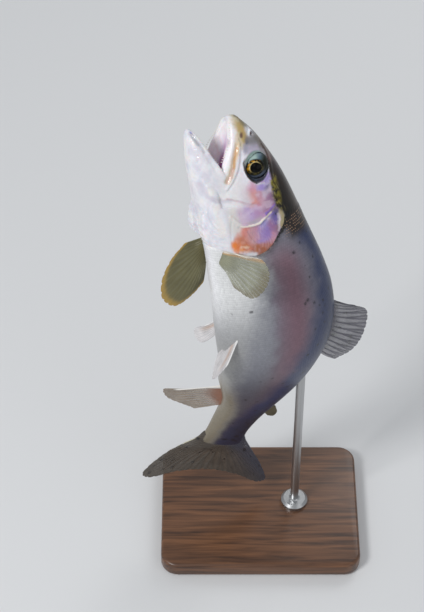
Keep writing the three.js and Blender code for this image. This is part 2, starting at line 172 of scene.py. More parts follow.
def smoothCurve(points):
    # the same curve as the solids': through the points, with no overshoot between them
    x, y = np.array(points, float).T
    slopes = np.diff(y) / np.diff(x)
    tangents = np.concatenate(([slopes[0]], np.zeros(len(x) - 2), [slopes[-1]]))
    before, after = slopes[:-1], slopes[1:]
    same = before * after > 0
    tangents[1:-1][same] = (2 * before * after)[same] / (before + after)[same]

    def value(s):
        s = np.clip(s, x[0], x[-1])
        i = np.clip(np.searchsorted(x, s) - 1, 0, len(x) - 2)
        span = x[i + 1] - x[i]
        t = (s - x[i]) / span
        ends = y[i] * (2 * t**3 - 3 * t**2 + 1) + y[i + 1] * (3 * t**2 - 2 * t**3)
        return ends + span * (tangents[i] * (t**3 - 2 * t**2 + t) + tangents[i + 1] * (t**3 - t**2))

    return value


def roundCurve(points):
    # centripetal curve through points in space, read at u from 0 to 1
    p = np.array(points, float)
    p = np.vstack((2 * p[0] - p[1], p, 2 * p[-1] - p[-2]))
    gaps = np.maximum(np.linalg.norm(np.diff(p, axis=0), axis=1) ** 0.5, 1e-6)

    def value(u):
        along = np.clip(u, 0, 1) * (len(p) - 3)
        i = np.minimum(along.astype(int), len(p) - 4)
        t = (along - i)[:, None]
        a, b, c = (gaps[i + k][:, None] for k in range(3))
        p0, p1, p2, p3 = (p[i + k] for k in range(4))
        t1 = ((p1 - p0) / a - (p2 - p0) / (a + b) + (p2 - p1) / b) * b
        t2 = ((p2 - p1) / b - (p3 - p1) / (b + c) + (p3 - p2) / c) * b
        ends = p1 * (2 * t**3 - 3 * t**2 + 1) + p2 * (3 * t**2 - 2 * t**3)
        return ends + t1 * (t**3 - 2 * t**2 + t) + t2 * (t**3 - t**2)

    return value


noiseTable = np.random.default_rng(7).random((24, 24, 24))


def noise(spots, size):
    # soft lumps about this many millimetres across, from 0 to 1
    p = np.asarray(spots) / size + 500.0
    cell = np.floor(p).astype(int)
    t = p - cell
    t = t * t * (3 - 2 * t)
    total = 0
    for corner in np.ndindex(2, 2, 2):
        weight = np.prod(np.where(corner, t, 1 - t), axis=1)
        i, j, k = ((cell + corner) % 24).T
        total = total + weight * noiseTable[i, j, k]
    return total


def lineDistance(s, z, points):
    best = np.full(s.shape, 1e9)
    for (s0, z0), (s1, z1) in zip(points[:-1], points[1:]):
        ds, dz = s1 - s0, z1 - z0
        t = np.clip(((s - s0) * ds + (z - z0) * dz) / (ds * ds + dz * dz), 0, 1)
        best = np.minimum(best, np.hypot(s - s0 - t * ds, z - z0 - t * dz))
    return best


# paint is a linear colour at each point of a piece, given as a code such as EAE9EF


def colour(code):
    value = np.array([int(code[i:i + 2], 16) for i in (0, 2, 4)]) / 255
    return np.where(value <= 0.04045, value / 12.92, ((value + 0.055) / 1.055) ** 2.4)


def plainPaint(code, count):
    return np.ones((count, 3)) * colour(code)


def mixPaint(under, over, share):
    return under + (over - under) * np.clip(share, 0, 1)[:, None]


def blendIn(paint, layers):
    # each layer is a colour and how much of it every point takes
    for code, share in layers:
        paint = mixPaint(paint, colour(code), share)
    return paint


def storePaint(piece, paint):
    rgba = np.ones((len(paint), 4))
    rgba[:, :3] = np.clip(paint, 0, 1)
    piece.data.attributes.new("paint", "FLOAT_COLOR", "POINT").data.foreach_set("color", rgba.ravel())


# the straight fish's outlines, each as points (back, value)
fish = {
    "backLine": [
        (0, -3.4), (1.5, -0.4), (5.5, 2.6), (15.8, 9.2), (31, 15.8), (48, 21.8), (65, 26), (82, 29.5),
        (102, 33.8), (125, 39.4), (150, 44.6), (170, 46.2), (190, 44.4), (215, 38.6), (240, 32.2),
        (274, 24.2), (308, 18.8), (328, 17.2), (340, 18), (350, 20),
    ],
    "lowLine": [
        (0, -6.6), (1.5, -7.8), (4.2, -9.2), (8, -10.9), (12.4, -13.2), (16, -16.2), (20, -20), (24, -23.2),
        (30, -27.4), (36, -31.4), (48, -38), (62, -43.8), (76, -45.4), (90, -46), (120, -48),
        (154, -48.8), (178, -47), (205, -42.4), (225, -39), (240, -35), (256, -29), (274, -22.4),
        (290, -19.2), (308, -17.8), (328, -17), (340, -18), (350, -20),
    ],
    # how much higher the left lip hangs than the right one
    "lipLean": [(0, 0), (6, 0.2), (11, 0.8), (20, 1.3), (27, 0.9), (38, 0), (350, 0)],
    "halfWidth": [
        (0, 1.6), (1.5, 5), (4.2, 8.4), (9, 11.8), (15, 14.6), (22, 16.8), (30, 18.2), (40, 19.4),
        (50, 20.8), (65, 22.6), (80, 23), (95, 23.6), (120, 25.2), (150, 25.6), (178, 24.6),
        (205, 22.2), (239, 17.8), (274, 13), (308, 8.6), (328, 6), (340, 3.8), (350, 1.2),
    ],
    "beltLine": [(0, -5.2), (5, -6.4), (20, -9), (40, -8.6), (80, -7), (120, -2), (200, 0), (342, 0)],
    "sideFullness": [(0, 0.8), (40, 0.84), (75, 0.9), (120, 0.94), (342, 0.94)],
    "lowFullness": [(0, 0.4), (30, 0.45), (50, 0.6), (75, 0.82), (342, 0.88)],
    "throatLine": [(16, -41), (26, -43.4), (40, -44), (62, -44.6), (80, -44)],
    "throatHalfWidth": [(16, 5), (26, 12), (42, 17.4), (62, 20), (80, 20)],
    "jawRim": [
        (-0.9, -36), (0.6, -34.2), (6.4, -31.4), (11.4, -29.8), (19, -27.6), (27, -24.6), (47, -20),
        (56, -20),
    ],
    "jawUnderside": [(-0.9, -37), (1, -38.6), (7, -40.4), (19, -42.6), (31, -43.6), (44, -42), (56, -38)],
    "jawHalfWidth": [
        (-0.9, 1.6), (0.6, 4.6), (3, 7), (6.4, 9.4), (11.4, 12), (19, 14.8), (27, 17), (40, 18.8), (56, 19),
    ],
    "palate": [
        (-5, -9.8), (1, -9.6), (6, -9.2), (10, -9), (16, -10), (22, -12.6), (32, -17), (48, -21), (72, -26),
    ],
    "mouthFloor": [(-5, -32), (1, -33.2), (6, -36), (14, -38), (30, -38.6), (48, -36), (72, -29)],
    "mouthHalfWidth": [
        (-5, 4.4), (1, 5.8), (6, 9.4), (12, 12), (18, 13.8), (26, 14.8), (36, 14.4), (50, 11), (72, 4),
    ],
    "coverHalfWidth": [(48, 20.6), (60, 22.6), (72, 24.4), (84, 25.8), (92, 27), (100, 27.6)],
    "coverLow": [(48, -44), (60, -50), (72, -55), (84, -56), (100, -56)],
    # how far the skin lies inside the solids: deeper where scales cover it
    "skinInset": [(0, 0.05), (78, 0.1), (92, 0.42), (350, 0.42)],
}
line = {name: smoothCurve(points) for name, points in fish.items()}

gillCoverOutline = [
    (64, 6), (73, 10.5), (81, 9.4), (86.5, 3), (91.6, -2.6), (95.2, -9), (96.2, -16), (94.6, -23), (91, -29),
    (88, -35), (84, -42), (76, -48.4), (66, -47.6), (57, -44), (56.5, -30), (58.5, -12), (60.5, 0),
]
maxillaOutline = [
    (12, -6), (19, -8.4), (27, -12.6), (34, -17.4), (41, -22.6), (41.6, -25.8), (38, -27), (30, -22.6),
    (23, -17.4), (17, -13.4), (11.6, -10.6),
]
eyeSize = {"back": 36.6, "side": 12.0, "up": 1.2, "radius": 9.8, "depth": 8.0}
orbit = {"back": 36.0, "side": 21.4, "up": 0.5, "length": 10.9, "height": 9.3, "depth": 6.0}

# where the snout lies and how it points, and degrees of turn per 100 mm at each knot behind it
spine = {
    "snout": (-23.9, 44.9, 414.0), "yaw": 124.2, "pitch": -66.0, "roll": 79.6, "step": 2.0, "end": 410.0,
    "knots": (75, 137, 198, 260, 315, 360),
    "twist": (0, 0, -8.1, -14.3, -4.8, 3.7),
    "backBend": (0, -11.8, -12.2, -6.8, -3.8, -0.2),
    "sideBend": (0, 24.4, 35.6, 7.1, -22.9, -32.6),
}


def turnMatrix(rate, length):
    # degrees per 100 mm about the three axes of the body, over a length
    turn = np.radians(rate) / 100 * length
    angle = np.linalg.norm(turn)
    if angle < 1e-12:
        return np.eye(3)
    x, y, z = turn / angle
    cross = np.array([[0, -z, y], [z, 0, -x], [-y, x, 0]])
    return np.eye(3) + math.sin(angle) * cross + (1 - math.cos(angle)) * cross @ cross


def marchSpine():
    step = spine["step"]
    start = Euler([math.radians(spine[name]) for name in ("roll", "pitch", "yaw")], "XYZ")
    places = [np.array(spine["snout"])]
    attitudes = [np.array(start.to_matrix())]
    for s in np.arange(0, spine["end"], step):
        rate = np.array([
            np.interp(s + step / 2, spine["knots"], spine[name]) for name in ("twist", "backBend", "sideBend")
        ])
        if s + step / 2 < spine["knots"][0]:
            rate = rate * 0
        middle = attitudes[-1] @ turnMatrix(rate, step / 2)
        places.append(places[-1] - middle[:, 0] * step)
        attitudes.append(attitudes[-1] @ turnMatrix(rate, step))
    return np.array(places), np.array(attitudes)


spinePlaces, spineAttitudes = marchSpine()


def bendFish(spots):
    # straight fish in millimetres to the posed fish in metres
    along = -spots[:, 0] / spine["step"]
    i = np.clip(np.floor(along).astype(int), 0, len(spinePlaces) - 2)
    t = (along - i)[:, None]
    place = spinePlaces[i] * (1 - t) + spinePlaces[i + 1] * t
    t = np.clip(t, 0, 1)[:, :, None]
    attitude = spineAttitudes[i] * (1 - t) + spineAttitudes[i + 1] * t
    return (place + attitude[:, :, 1] * spots[:, 1:2] + attitude[:, :, 2] * spots[:, 2:3]) / 1000


# below 1 a section is squarer than an oval, and above 1 it is more pointed
mouthFullness = {"side": 1.1, "roof": 1.25, "floor": 1.0}
# how far the plates of the head stand out past the outlines
plateRise = {"maxilla": 0.42, "coverSide": -0.15, "coverTop": 0.85}


def section(angle, top, bottom, side, belt, fullSide, fullTop, fullLow, lean=0.0):
    up, out = np.cos(angle), np.sin(angle)
    bottom = bottom + lean * out
    y = side * np.sign(out) * np.abs(out) ** fullSide
    z = belt + np.where(up > 0, (top - belt) * np.abs(up) ** fullTop, (bottom - belt) * np.abs(up) ** fullLow)
    return y, z


def bodySection(s, angle, out):
    return section(
        angle, line["backLine"](s) + out, line["lowLine"](s) - out, line["halfWidth"](s) + out,
        line["beltLine"](s), line["sideFullness"](s), 0.95, line["lowFullness"](s), line["lipLean"](s),
    )


def skinSection(s, angle):
    return bodySection(s, angle, -line["skinInset"](s))


def throatSection(s, angle):
    low = line["throatLine"](s)
    return section(angle, low + 16, low, line["throatHalfWidth"](s), low + 11, 0.85, 0.8, 0.8)


def jawSection(s, angle):
    rim = line["jawRim"](s)
    return section(angle, rim, line["jawUnderside"](s), line["jawHalfWidth"](s), rim - 1.6, 0.9, 0.35, 0.85)


def mouthSection(s, angle):
    roof, floor = line["palate"](s), line["mouthFloor"](s)
    fullness = (mouthFullness[name] for name in ("side", "roof", "floor"))
    return section(angle, roof, floor, line["mouthHalfWidth"](s), (roof + floor) / 2, *fullness)


def maxillaSection(s, angle):
    return bodySection(s, angle, plateRise["maxilla"])


def coverSection(s, angle):
    side = line["coverHalfWidth"](s) + plateRise["coverSide"]
    top = line["backLine"](s) + plateRise["coverTop"]
    return section(angle, top, line["coverLow"](s), side, -14, 0.8, 0.9, 0.75)


def rollLoft(name, stations, sectionOf, around):
    # a grid rolled into a tube along the fish, then closed at both ends
    bpy.ops.mesh.primitive_grid_add(x_subdivisions=len(stations) - 1, y_subdivisions=around, size=1)
    piece = justMade(name)
    flat = pointsOf(piece)
    s = np.interp(flat[:, 0] + 0.5, np.linspace(0, 1, len(stations)), stations)
    y, z = sectionOf(s, (flat[:, 1] + 0.5) * 2 * math.pi)
    setPoints(piece, np.stack((-s, y, z), axis=1))
    editMesh(piece, closeUp)
    return piece


def outlineSlab(name, outline, fromSide, toSide):
    # a side view cut out as a plate, between two distances to the fish's left
    bpy.ops.mesh.primitive_circle_add(vertices=len(outline), radius=1, fill_type="NGON")
    piece = justMade(name)
    setPoints(piece, [(-s, fromSide, z) for s, z in outline])
    move = {"value": (0, toSide - fromSide, 0)}
    editMesh(piece, lambda: bpy.ops.mesh.extrude_region_move(TRANSFORM_OT_translate=move), outward)
    return piece


def roundedOutline(points, count):
    # the outline with its corners taken off
    closed = list(points) + [points[0]]
    return roundCurve([(s, 0, z) for s, z in closed])(np.linspace(0, 1, count + 1)[:-1])[:, (0, 2)]


def ball(name, centre, radii):
    bpy.ops.mesh.primitive_uv_sphere_add(segments=40, ring_count=24, radius=1)
    piece = justMade(name)
    setPoints(piece, pointsOf(piece) * radii + centre)
    return piece


skinMake = {
    "voxel": 0.52, "smoothing": 2, "keep": 0.28, "eyeGap": 0.2,
}
bodyStations = np.concatenate((np.arange(0, 6, 0.5), np.arange(6, 88, 1.5), np.arange(88, 351, 3), [350]))
jawStations = np.concatenate((np.arange(-0.9, 6, 0.45), np.arange(6, 57, 2)))


def addPlates(skin, name, plate, outline, inner):
    # a plate cut to its side view, joined on at the left and mirrored at the right
    cutWith(plate, outlineSlab(name + "Slab", outline, inner, 40), "INTERSECT")
    cutWith(skin, mirroredCopy(plate, name + "Right"), "UNION")
    cutWith(skin, plate, "UNION")


def buildSkinForm():
    skin = rollLoft("trout_skin", bodyStations, skinSection, 140)
    maxilla = rollLoft("maxillaLeft", np.arange(8, 47, 1.5), maxillaSection, 90)
    addPlates(skin, "maxilla", maxilla, roundedOutline(maxillaOutline, 44), 3)
    cutWith(skin, rollLoft("throat", np.arange(16, 81, 2), throatSection, 80), "UNION")
    cutWith(skin, rollLoft("jaw", jawStations, jawSection, 80), "UNION")
    cutWith(skin, rollLoft("mouth", np.arange(-5, 73, 1.0), mouthSection, 80), "DIFFERENCE")
    bed, depth = eyeSize["radius"] + skinMake["eyeGap"], eyeSize["depth"] + skinMake["eyeGap"]
    for side in (1, -1):
        for name, place, radii in (
            ("eyeBed", eyeSize, (bed, depth, bed)),
            ("orbitDish", orbit, (orbit["length"], orbit["depth"], orbit["height"])),
        ):
            centre = (-place["back"], place["side"] * side, place["up"])
            cutWith(skin, ball(name, centre, radii), "DIFFERENCE")
    cover = rollLoft("coverLeft", np.arange(48, 101, 2), coverSection, 96)
    addPlates(skin, "cover", cover, roundedOutline(gillCoverOutline, 60), 6)
    applyModifier(skin, "REMESH", mode="VOXEL", voxel_size=skinMake["voxel"], adaptivity=0)
    applyModifier(skin, "SMOOTH", factor=0.5, iterations=skinMake["smoothing"])
    return skin


# forms raised on and sunk into the head: points (back, up), half width, height
headLines = {
    "preopercleRidge": (
        [(66.5, 5.5), (69.5, -2), (72, -4.5), (74.3, -8.7), (74.2, -13), (73, -18.5), (70, -23.5), (63, -28)],
        1.1, 0.8,
    ),
    "preopercleGroove": (
        [(69, 5.5), (72, -1), (74.8, -4.5), (76.8, -9), (76.6, -14), (75.4, -19), (72.5, -24.5)], 1.0, -0.5,
    ),
    "cheekFold": ([(62, -6), (59.5, -14), (54.5, -20), (51, -26)], 1.0, -0.35),
    "cheekPlateEdge": ([(56.4, 6), (56, -1), (52, -6)], 0.8, 0.25),
    "browRidge": ([(24, 9.8), (30, 11.4), (37, 12), (44, 10.6), (49, 9.2)], 1.5, 0.55),
    "maxillaStep": ([(14, -5.4), (20, -7.2), (27, -9.4), (34, -13), (40, -17.8), (45, -24)], 1.1, -0.4),
    "maxillaBand": (
        [(16, -6.6), (20.4, -8.9), (28, -11.8), (34, -15.4), (40, -20.4), (43.6, -24.6)], 1.3, 0.85,
    ),
    "maxillaGroove": (
        [(17, -9.4), (20, -11.8), (26, -14.8), (30, -16.8), (35, -20), (38.6, -23.8)], 1.3, -0.8,
    ),
    "upperLip": ([(1, -5.6), (6, -8.2), (12, -10.8), (18, -14.4), (24, -19), (28, -22.6)], 1.4, 0.5),
    "jawFold": ([(33, -42), (38, -40), (45, -38.4), (49.5, -34), (52, -29), (53.4, -24)], 1.6, -0.6),
    "jawFoldLip": ([(34, -38.6), (41, -36.4), (46, -33.2), (49, -28.6), (50.4, -24)], 1.7, 0.4),
    "jawLip": ([(0, -35.6), (6, -33), (12, -31.2), (19, -29), (26, -26.4)], 1.0, 0.4),
    "jawGroove": ([(2, -36.2), (8, -34.2), (14, -33), (20, -31.2), (28, -29)], 0.9, -0.35),
    "jawCanal": ([(5, -37.8), (15.5, -37.2), (25.8, -38.2), (34, -38.2)], 1.2, 0.3),
    "opercleTop": ([(74, 6.6), (79, 5.4), (84.5, 2.8)], 0.7, -0.3),
    "subopercleSeam": ([(75.5, -19.5), (82, -17.8), (89, -14.5), (93.5, -11)], 0.8, -0.35),
    "interopercleSeam": ([(64, -27.4), (72, -30.4), (80, -32.2), (87, -33)], 0.8, -0.35),
    "behindCover": (
        [(79.6, 11.6), (83, 9.8), (88, 3.4), (93, -2.4), (96.8, -9), (97.8, -16), (96.2, -23.6),
         (92.6, -29.8), (89.4, -36), (85.6, -43)], 1.0, -0.9,
    ),
}
headDots = [  # back, up, radius, height: pores and nostrils sink, and the flap between the nostrils rises
    (14.4, 4.8, 0.8, -1.4), (12, 2.4, 0.6, -0.5), (6, -38, 0.6, -0.45), (10.5, -37.6, 0.6, -0.5),
    (15.5, -37.2, 0.7, -0.6), (20, -38.4, 0.65, -0.5), (25.8, -38.6, 0.7, -0.6), (31, -38.6, 0.65, -0.5),
    (36.5, -37.6, 0.6, -0.4), (28, -4.6, 0.5, -0.3), (49.5, -8, 0.5, -0.3), (52.2, 4.4, 0.8, -0.5),
    (56, 7.6, 0.5, -0.3), (63, -21, 0.55, -0.35), (66, -13, 0.5, -0.3),
    (12.6, 4.2, 1.3, 0.7), (10.6, 2.6, 1.2, 0.35), (16.6, 6.4, 1.2, 0.3),
]


def orbitDistance(s, z):
    return np.hypot((s - orbit["back"]) / orbit["length"], (z - orbit["up"]) / orbit["height"])


def mouthLining(s, y, z):
    # 1 on the walls of the mouth's hollow and 0 on the outside
    roof, floor = line["palate"](s), line["mouthFloor"](s)
    across = np.abs(y) / line["mouthHalfWidth"](s)
    up = np.abs(z - (roof + floor) / 2) / ((roof - floor) / 2)
    reach = across ** (2 / mouthFullness["side"]) + up ** (2 / mouthFullness["roof"])
    return fall(reach, 1.04, 1.2) * (s < 72)


def shapeHead(skin):
    spots = pointsOf(skin)
    s, y, z = -spots[:, 0], spots[:, 1], spots[:, 2]
    lining = mouthLining(s, y, z)
    side = ramp(np.abs(y), 3, 6) * (1 - lining)
    lift = np.zeros(len(s))
    for points, width, height in headLines.values():
        lift += height * hump(lineDistance(s, z, points), width) * side
    for back, up, radius, height in headDots:
        lift += height * hump(np.hypot(s - back, z - up), radius) * side
    rim = orbitDistance(s, z)
    lift += 0.5 * hump(rim - 1.07, 0.07) * side
    lift -= 0.9 * fall(rim, 0.8, 1.02) * side
    # rays of the gill membrane, curved along the lower edge of the cover
    reach = np.hypot(s - 60, z + 26)
    rays = ramp(reach, 12, 15) * ramp(-z, 33, 37) * ramp(s, 48, 56) * fall(s, 88, 91) * (1 - lining)
    lift += 0.22 * np.sin(reach * 2 * math.pi / 2.7) * rays
    # growth lines on the gill cover
    fan = np.hypot(s - 72, z - 6)
    plate = ramp(s, 76, 79) * fall(s, 90, 95) * ramp(z, -20, -17) * side
    lift += 0.07 * np.sin(fan * 2 * math.pi / 2.2) * plate
    # ridge down the middle of the palate, and the rows that carry the teeth
    roof = lining * (z > (line["palate"](s) + line["mouthFloor"](s)) / 2)
    lift += 0.5 * hump(y, 1.6) * roof * ramp(s, 8, 14)
    row = np.abs(np.abs(y) - 0.62 * line["mouthHalfWidth"](s))
    lift += 0.4 * hump(row, 1.1) * roof * ramp(s, 9, 14)
    # nothing rises past the very tips of the jaws
    lift *= np.where(lift > 0, ramp(s, 0, 5), 1)
    setPoints(skin, spots + normalsOf(skin) * lift[:, None])


# edges of the markings, which the skin and the scales share
paintLines = {
    # degrees round the body from the ridge of the back, where the dark back and the pale belly end
    "backEdge": [(84, 54), (110, 52), (150, 62), (200, 80), (250, 92), (300, 100), (350, 98)],
    "bellyEdge": [
        (84, 100), (110, 106), (140, 116), (180, 128), (215, 140), (245, 134), (280, 120), (320, 114),
        (350, 112),
    ],
    # how high the dark cap of the head comes down
    "capEdge": [
        (0, -0.8), (4, 2.6), (10, 6.8), (16, 8.6), (24, 9.4), (30, 10.3), (37, 9.9), (43, 8.8), (50, 8),
        (58, 6.8), (65, 7), (70, 8), (76, 10.8), (82, 11.6), (88, 12),
    ],
    # how far back the head's bare skin reaches at each height
    "coverEdge": [
        (-60, 92), (-48, 88), (-42, 86.5), (-35, 89), (-29, 92), (-23, 95.4), (-16, 97), (-9, 96),
        (-2.6, 92.4), (3, 87.5), (9.4, 82.5), (14, 80), (22, 79), (34, 79),
    ],
}
edges = {name: smoothCurve(points) for name, points in paintLines.items()}

spotMarks = {"count": 330, "from": 60, "to": 346, "spread": 86, "seed": 3}


def placeSpots():
    draw = np.random.default_rng(spotMarks["seed"])
    back = spotMarks["from"] + (spotMarks["to"] - spotMarks["from"]) * draw.random(spotMarks["count"])
    angle = spotMarks["spread"] * np.abs(draw.normal(0, 0.55, spotMarks["count"]))
    flank = draw.choice((-1, 1), spotMarks["count"])
    return back, angle, flank, 0.55 + 0.75 * draw.random(spotMarks["count"])


backSpots = placeSpots()


def backAngle(s, z):
    # degrees round the body from the ridge of the back
    top, low, belt = line["backLine"](s), line["lowLine"](s), line["beltLine"](s)
    up = np.clip(np.where(z > belt, (z - belt) / (top - belt), (z - belt) / (belt - low)), -1, 1)
    return np.degrees(np.arccos(np.sign(up) * np.abs(up) ** 1.1))


def paintTrunk(s, angle, flat):
    edge = angle + 10 * (noise(flat, 9) - 0.5) + 5 * (noise(flat, 2.4) - 0.5)
    back, belly = edges["backEdge"](s), edges["bellyEdge"](s)
    light = ramp(edge, belly - 16, belly + 18)
    dark = fall(edge, back - 16, back + 12)
    return blendIn(plainPaint("7A7985", len(s)), [
        ("54545F", ramp(s, 150, 230)),
        ("47454C", ramp(s, 250, 330)),
        ("7C5C69", 0.95 * hump(angle - 82, 17) * ramp(s, 88, 112) * fall(s, 195, 250)),
        ("6E5560", 0.35 * hump(angle - 88, 15) * ramp(s, 200, 240) * fall(s, 320, 345)),
        ("8E9097", 0.8 * ramp(edge, 92, 108) * fall(s, 170, 225)),
        ("DADBDB", light * fall(s, 120, 190)),
        ("9B9B9A", light * ramp(s, 120, 200)),
        ("7C715B", 0.85 * light * ramp(s, 205, 265)),
        ("EDEDF0", 0.7 * ramp(edge, 150, 172) * fall(s, 110, 170)),
        ("2F3A60", dark),
        ("202B4E", 0.85 * fall(edge, back - 40, back - 10)),
        ("30342C", 0.45 * fall(edge, 8, 30)),
        ("33323A", 0.6 * dark * ramp(s, 250, 310)),
        ("241C17", 0.95 * fall(s, 91, 101) * fall(edge, 58, 70)),
    ])


def addSpots(paint, s, y, angle):
    dark = np.zeros(len(s))
    width = np.maximum(line["halfWidth"](s), 4) * math.pi / 180 * 1.35
    for spotS, spotAngle, flank, size in zip(*backSpots):
        near = np.abs(s - spotS) < 3
        gap = np.hypot((s - spotS)[near], ((angle - spotAngle) * width)[near])
        mark = fall(gap, size * 0.75, size * 1.15) * (np.sign(y[near]) == flank)
        dark[near] = np.maximum(dark[near], mark)
    return blendIn(paint, [("15161C", 0.82 * dark)])


# soft areas of the head's colour, painted shade among them: where each lies (back, up), how far it reaches
# and its colour
headAreas = {
    "snoutTip": ([(0.4, -2), (2.4, -5)], 1.5, "C9BFA2"),
    "snoutOlive": ([(2, -0.6), (6, 1.2), (9.4, 2.8)], 1.2, "867B52"),
    "snoutTan": ([(4.4, -3.4), (9, -1.6), (14, -2.4)], 1.9, "C0A566"),
    "snoutRidge": ([(4, 2.4), (9, 5.6), (14, 8.4)], 1.0, "655C4C"),
    "nostrilFlap": ([(10.6, 2.4), (13.6, 4)], 1.5, "E6E5F0"),
    "noseGrey": ([(17.2, 3), (19.4, 6.4)], 2.3, "8D8A8C"),
    "noseOlive": ([(19, 8), (24, 8.6)], 1.4, "777062"),
    # painted shade: a small dark blue-grey patch below the nostrils
    "noseShade": ([(15.2, -0.4), (17.4, -0.9)], 0.9, "666A80"),
    "noseViolet": ([(19.8, -3.6), (22.4, -4.2)], 1.5, "A6A2B4"),
    "noseLilac": ([(22.6, 0), (24, 5.4)], 1.9, "BFB7CA"),
    "browGrey": ([(27, 8.8), (33, 10.6)], 1.1, "A29DA2"),
    "belowSpot": ([(11.6, -6), (17.6, -7.6)], 1.5, "DFCFB2"),
    "lip": ([(1.4, -6.4), (6, -8.4), (12, -11), (17, -14.6), (23, -19.8), (28, -23.4)], 2.2, "FBF7FA"),
    "underEye": ([(25, -9.4), (34, -11), (44, -10)], 2.6, "F1ECF4"),
    "cheekWhite": ([(40, -19), (50, -18)], 4.5, "EEECEE"),
    "cheekGrey": ([(51, -13), (56, -14)], 2.4, "DED2DA"),
    "cheekLow": ([(62, -25), (72, -26.5)], 2.2, "DFDBD8"),
    "cheekPink": ([(46.5, -6), (49.5, -8.6)], 2.0, "D59AB8"),
    "cheekSalmon": ([(52, -8.4), (57, -8.2)], 2.0, "DA968C"),
    "cheekCoral": ([(60.6, -6.4), (59.6, -10)], 1.4, "DC8A7A"),
    "cheekRose": ([(62, -3), (56, -3.8)], 1.8, "CC97AC"),
    "cheekMauve": ([(58, 2.8), (64, 2.8), (66.6, -1.4)], 2.4, "A67A9E"),
    "cheekLilac": ([(64, -8.6), (69, -8)], 2.4, "BF92BE"),
    "cheekViolet": ([(63.6, -15), (68.4, -14)], 2.6, "BEA2D0"),
    "cheekPale": ([(63, -20.6), (70.6, -19)], 2.1, "D3BCD2"),
    # painted shadow beside the preopercle ridge
    "ridgeShadow": ([(71.6, -7), (72.6, -12), (71.6, -18)], 0.9, "B9AEB6"),
    "eyeLilac": ([(46.6, 6), (48, 2.6)], 1.8, "BBA8E0"),
    "eyeViolet": ([(49.6, -1.4), (51, 1.6)], 1.6, "AC94DA"),
    "cornerPale": ([(47, -2), (46, -5)], 1.0, "E4DCEA"),
    "templePale": ([(55, 5.4), (56.6, 0)], 1.4, "DACDDD"),
    "templeGrey": ([(52.4, 4.4), (52.8, 2)], 1.1, "8A84A2"),
    "templeDusk": ([(60, 5.6), (69, 6.6)], 1.4, "7C6478"),
    "plateDusk": ([(71.6, 5.4), (72.6, 2.6)], 1.1, "574C7C"),
    "plateIndigo": ([(74, 3.4), (78, 2)], 1.6, "6658A8"),
    "plateMauve": ([(78.6, -1.4), (84, 0.4)], 2.0, "9E6E9C"),
    "plateBrown": ([(82, 3.2), (85, 1.6)], 1.2, "9C7A88"),
    "plateRosy": ([(86, -1.4), (89, -4)], 1.4, "CC96AE"),
    "plateBlue": ([(76.4, -5.4), (78.4, -7.6)], 1.6, "A096CC"),
    "plateViolet": ([(81, -5), (87.4, -7)], 2.3, "9A7CC2"),
    "plateLilac": ([(80, -10.4), (86.4, -10.4)], 2.0, "A98CC6"),
    "plateRose": ([(77.6, -13), (84.4, -14)], 1.8, "C793A8"),
    "plateFan": ([(78, -17), (84.6, -18)], 2.0, "C99AA0"),
    "plateCoral": ([(75, -20), (77.6, -23)], 1.9, "E08C80"),
    "plateSalmon": ([(80, -21), (83, -18.6)], 1.4, "D08C88"),
    "plateOrange": ([(81.6, -24.6), (87.4, -22.6)], 2.3, "CC7440"),
    "plateCopper": ([(91, -5), (92.4, -12), (90.6, -18)], 1.9, "B4663C"),
    "plateRust": ([(94.6, -9), (95, -14)], 1.2, "9C5E42"),
    "plateBright": ([(84, -29.8), (88.8, -27.6)], 1.7, "EA8222"),
    "plateRim": ([(94.2, -18.4), (92, -24), (90, -29)], 0.8, "E6E6EC"),
    "plateTop": ([(74.4, 8.8), (79, 8.8), (81.8, 7.2)], 1.3, "B2A47C"),
    "plateLine": ([(74, 5.9), (80, 4.9), (84.6, 3)], 0.7, "DDD2DC"),
}
capAreas = {
    "foreheadGrey": ([(2, 0.6), (12, 8), (18, 10.6)], 3.0, "6E6056"),
    "browBrown": ([(26, 13.4), (31, 14.6)], 2.8, "4E3A32"),
    "browRose": ([(34, 14.2), (35.4, 12.8)], 1.6, "7A5D57"),
    # painted reflection: a lilac-grey sheen across the top of the crown
    "crownSheen": ([(36, 17), (46, 20.4)], 2.6, "4A3F46"),
    "crownDark": ([(42, 11.6), (52, 15), (64, 19)], 4.2, "261A11"),
    "templeDark": ([(62, 11.4), (78, 14.6)], 4.6, "120D08"),
    "napeBrown": ([(62, 24), (82, 27)], 3.4, "3E3028"),
}
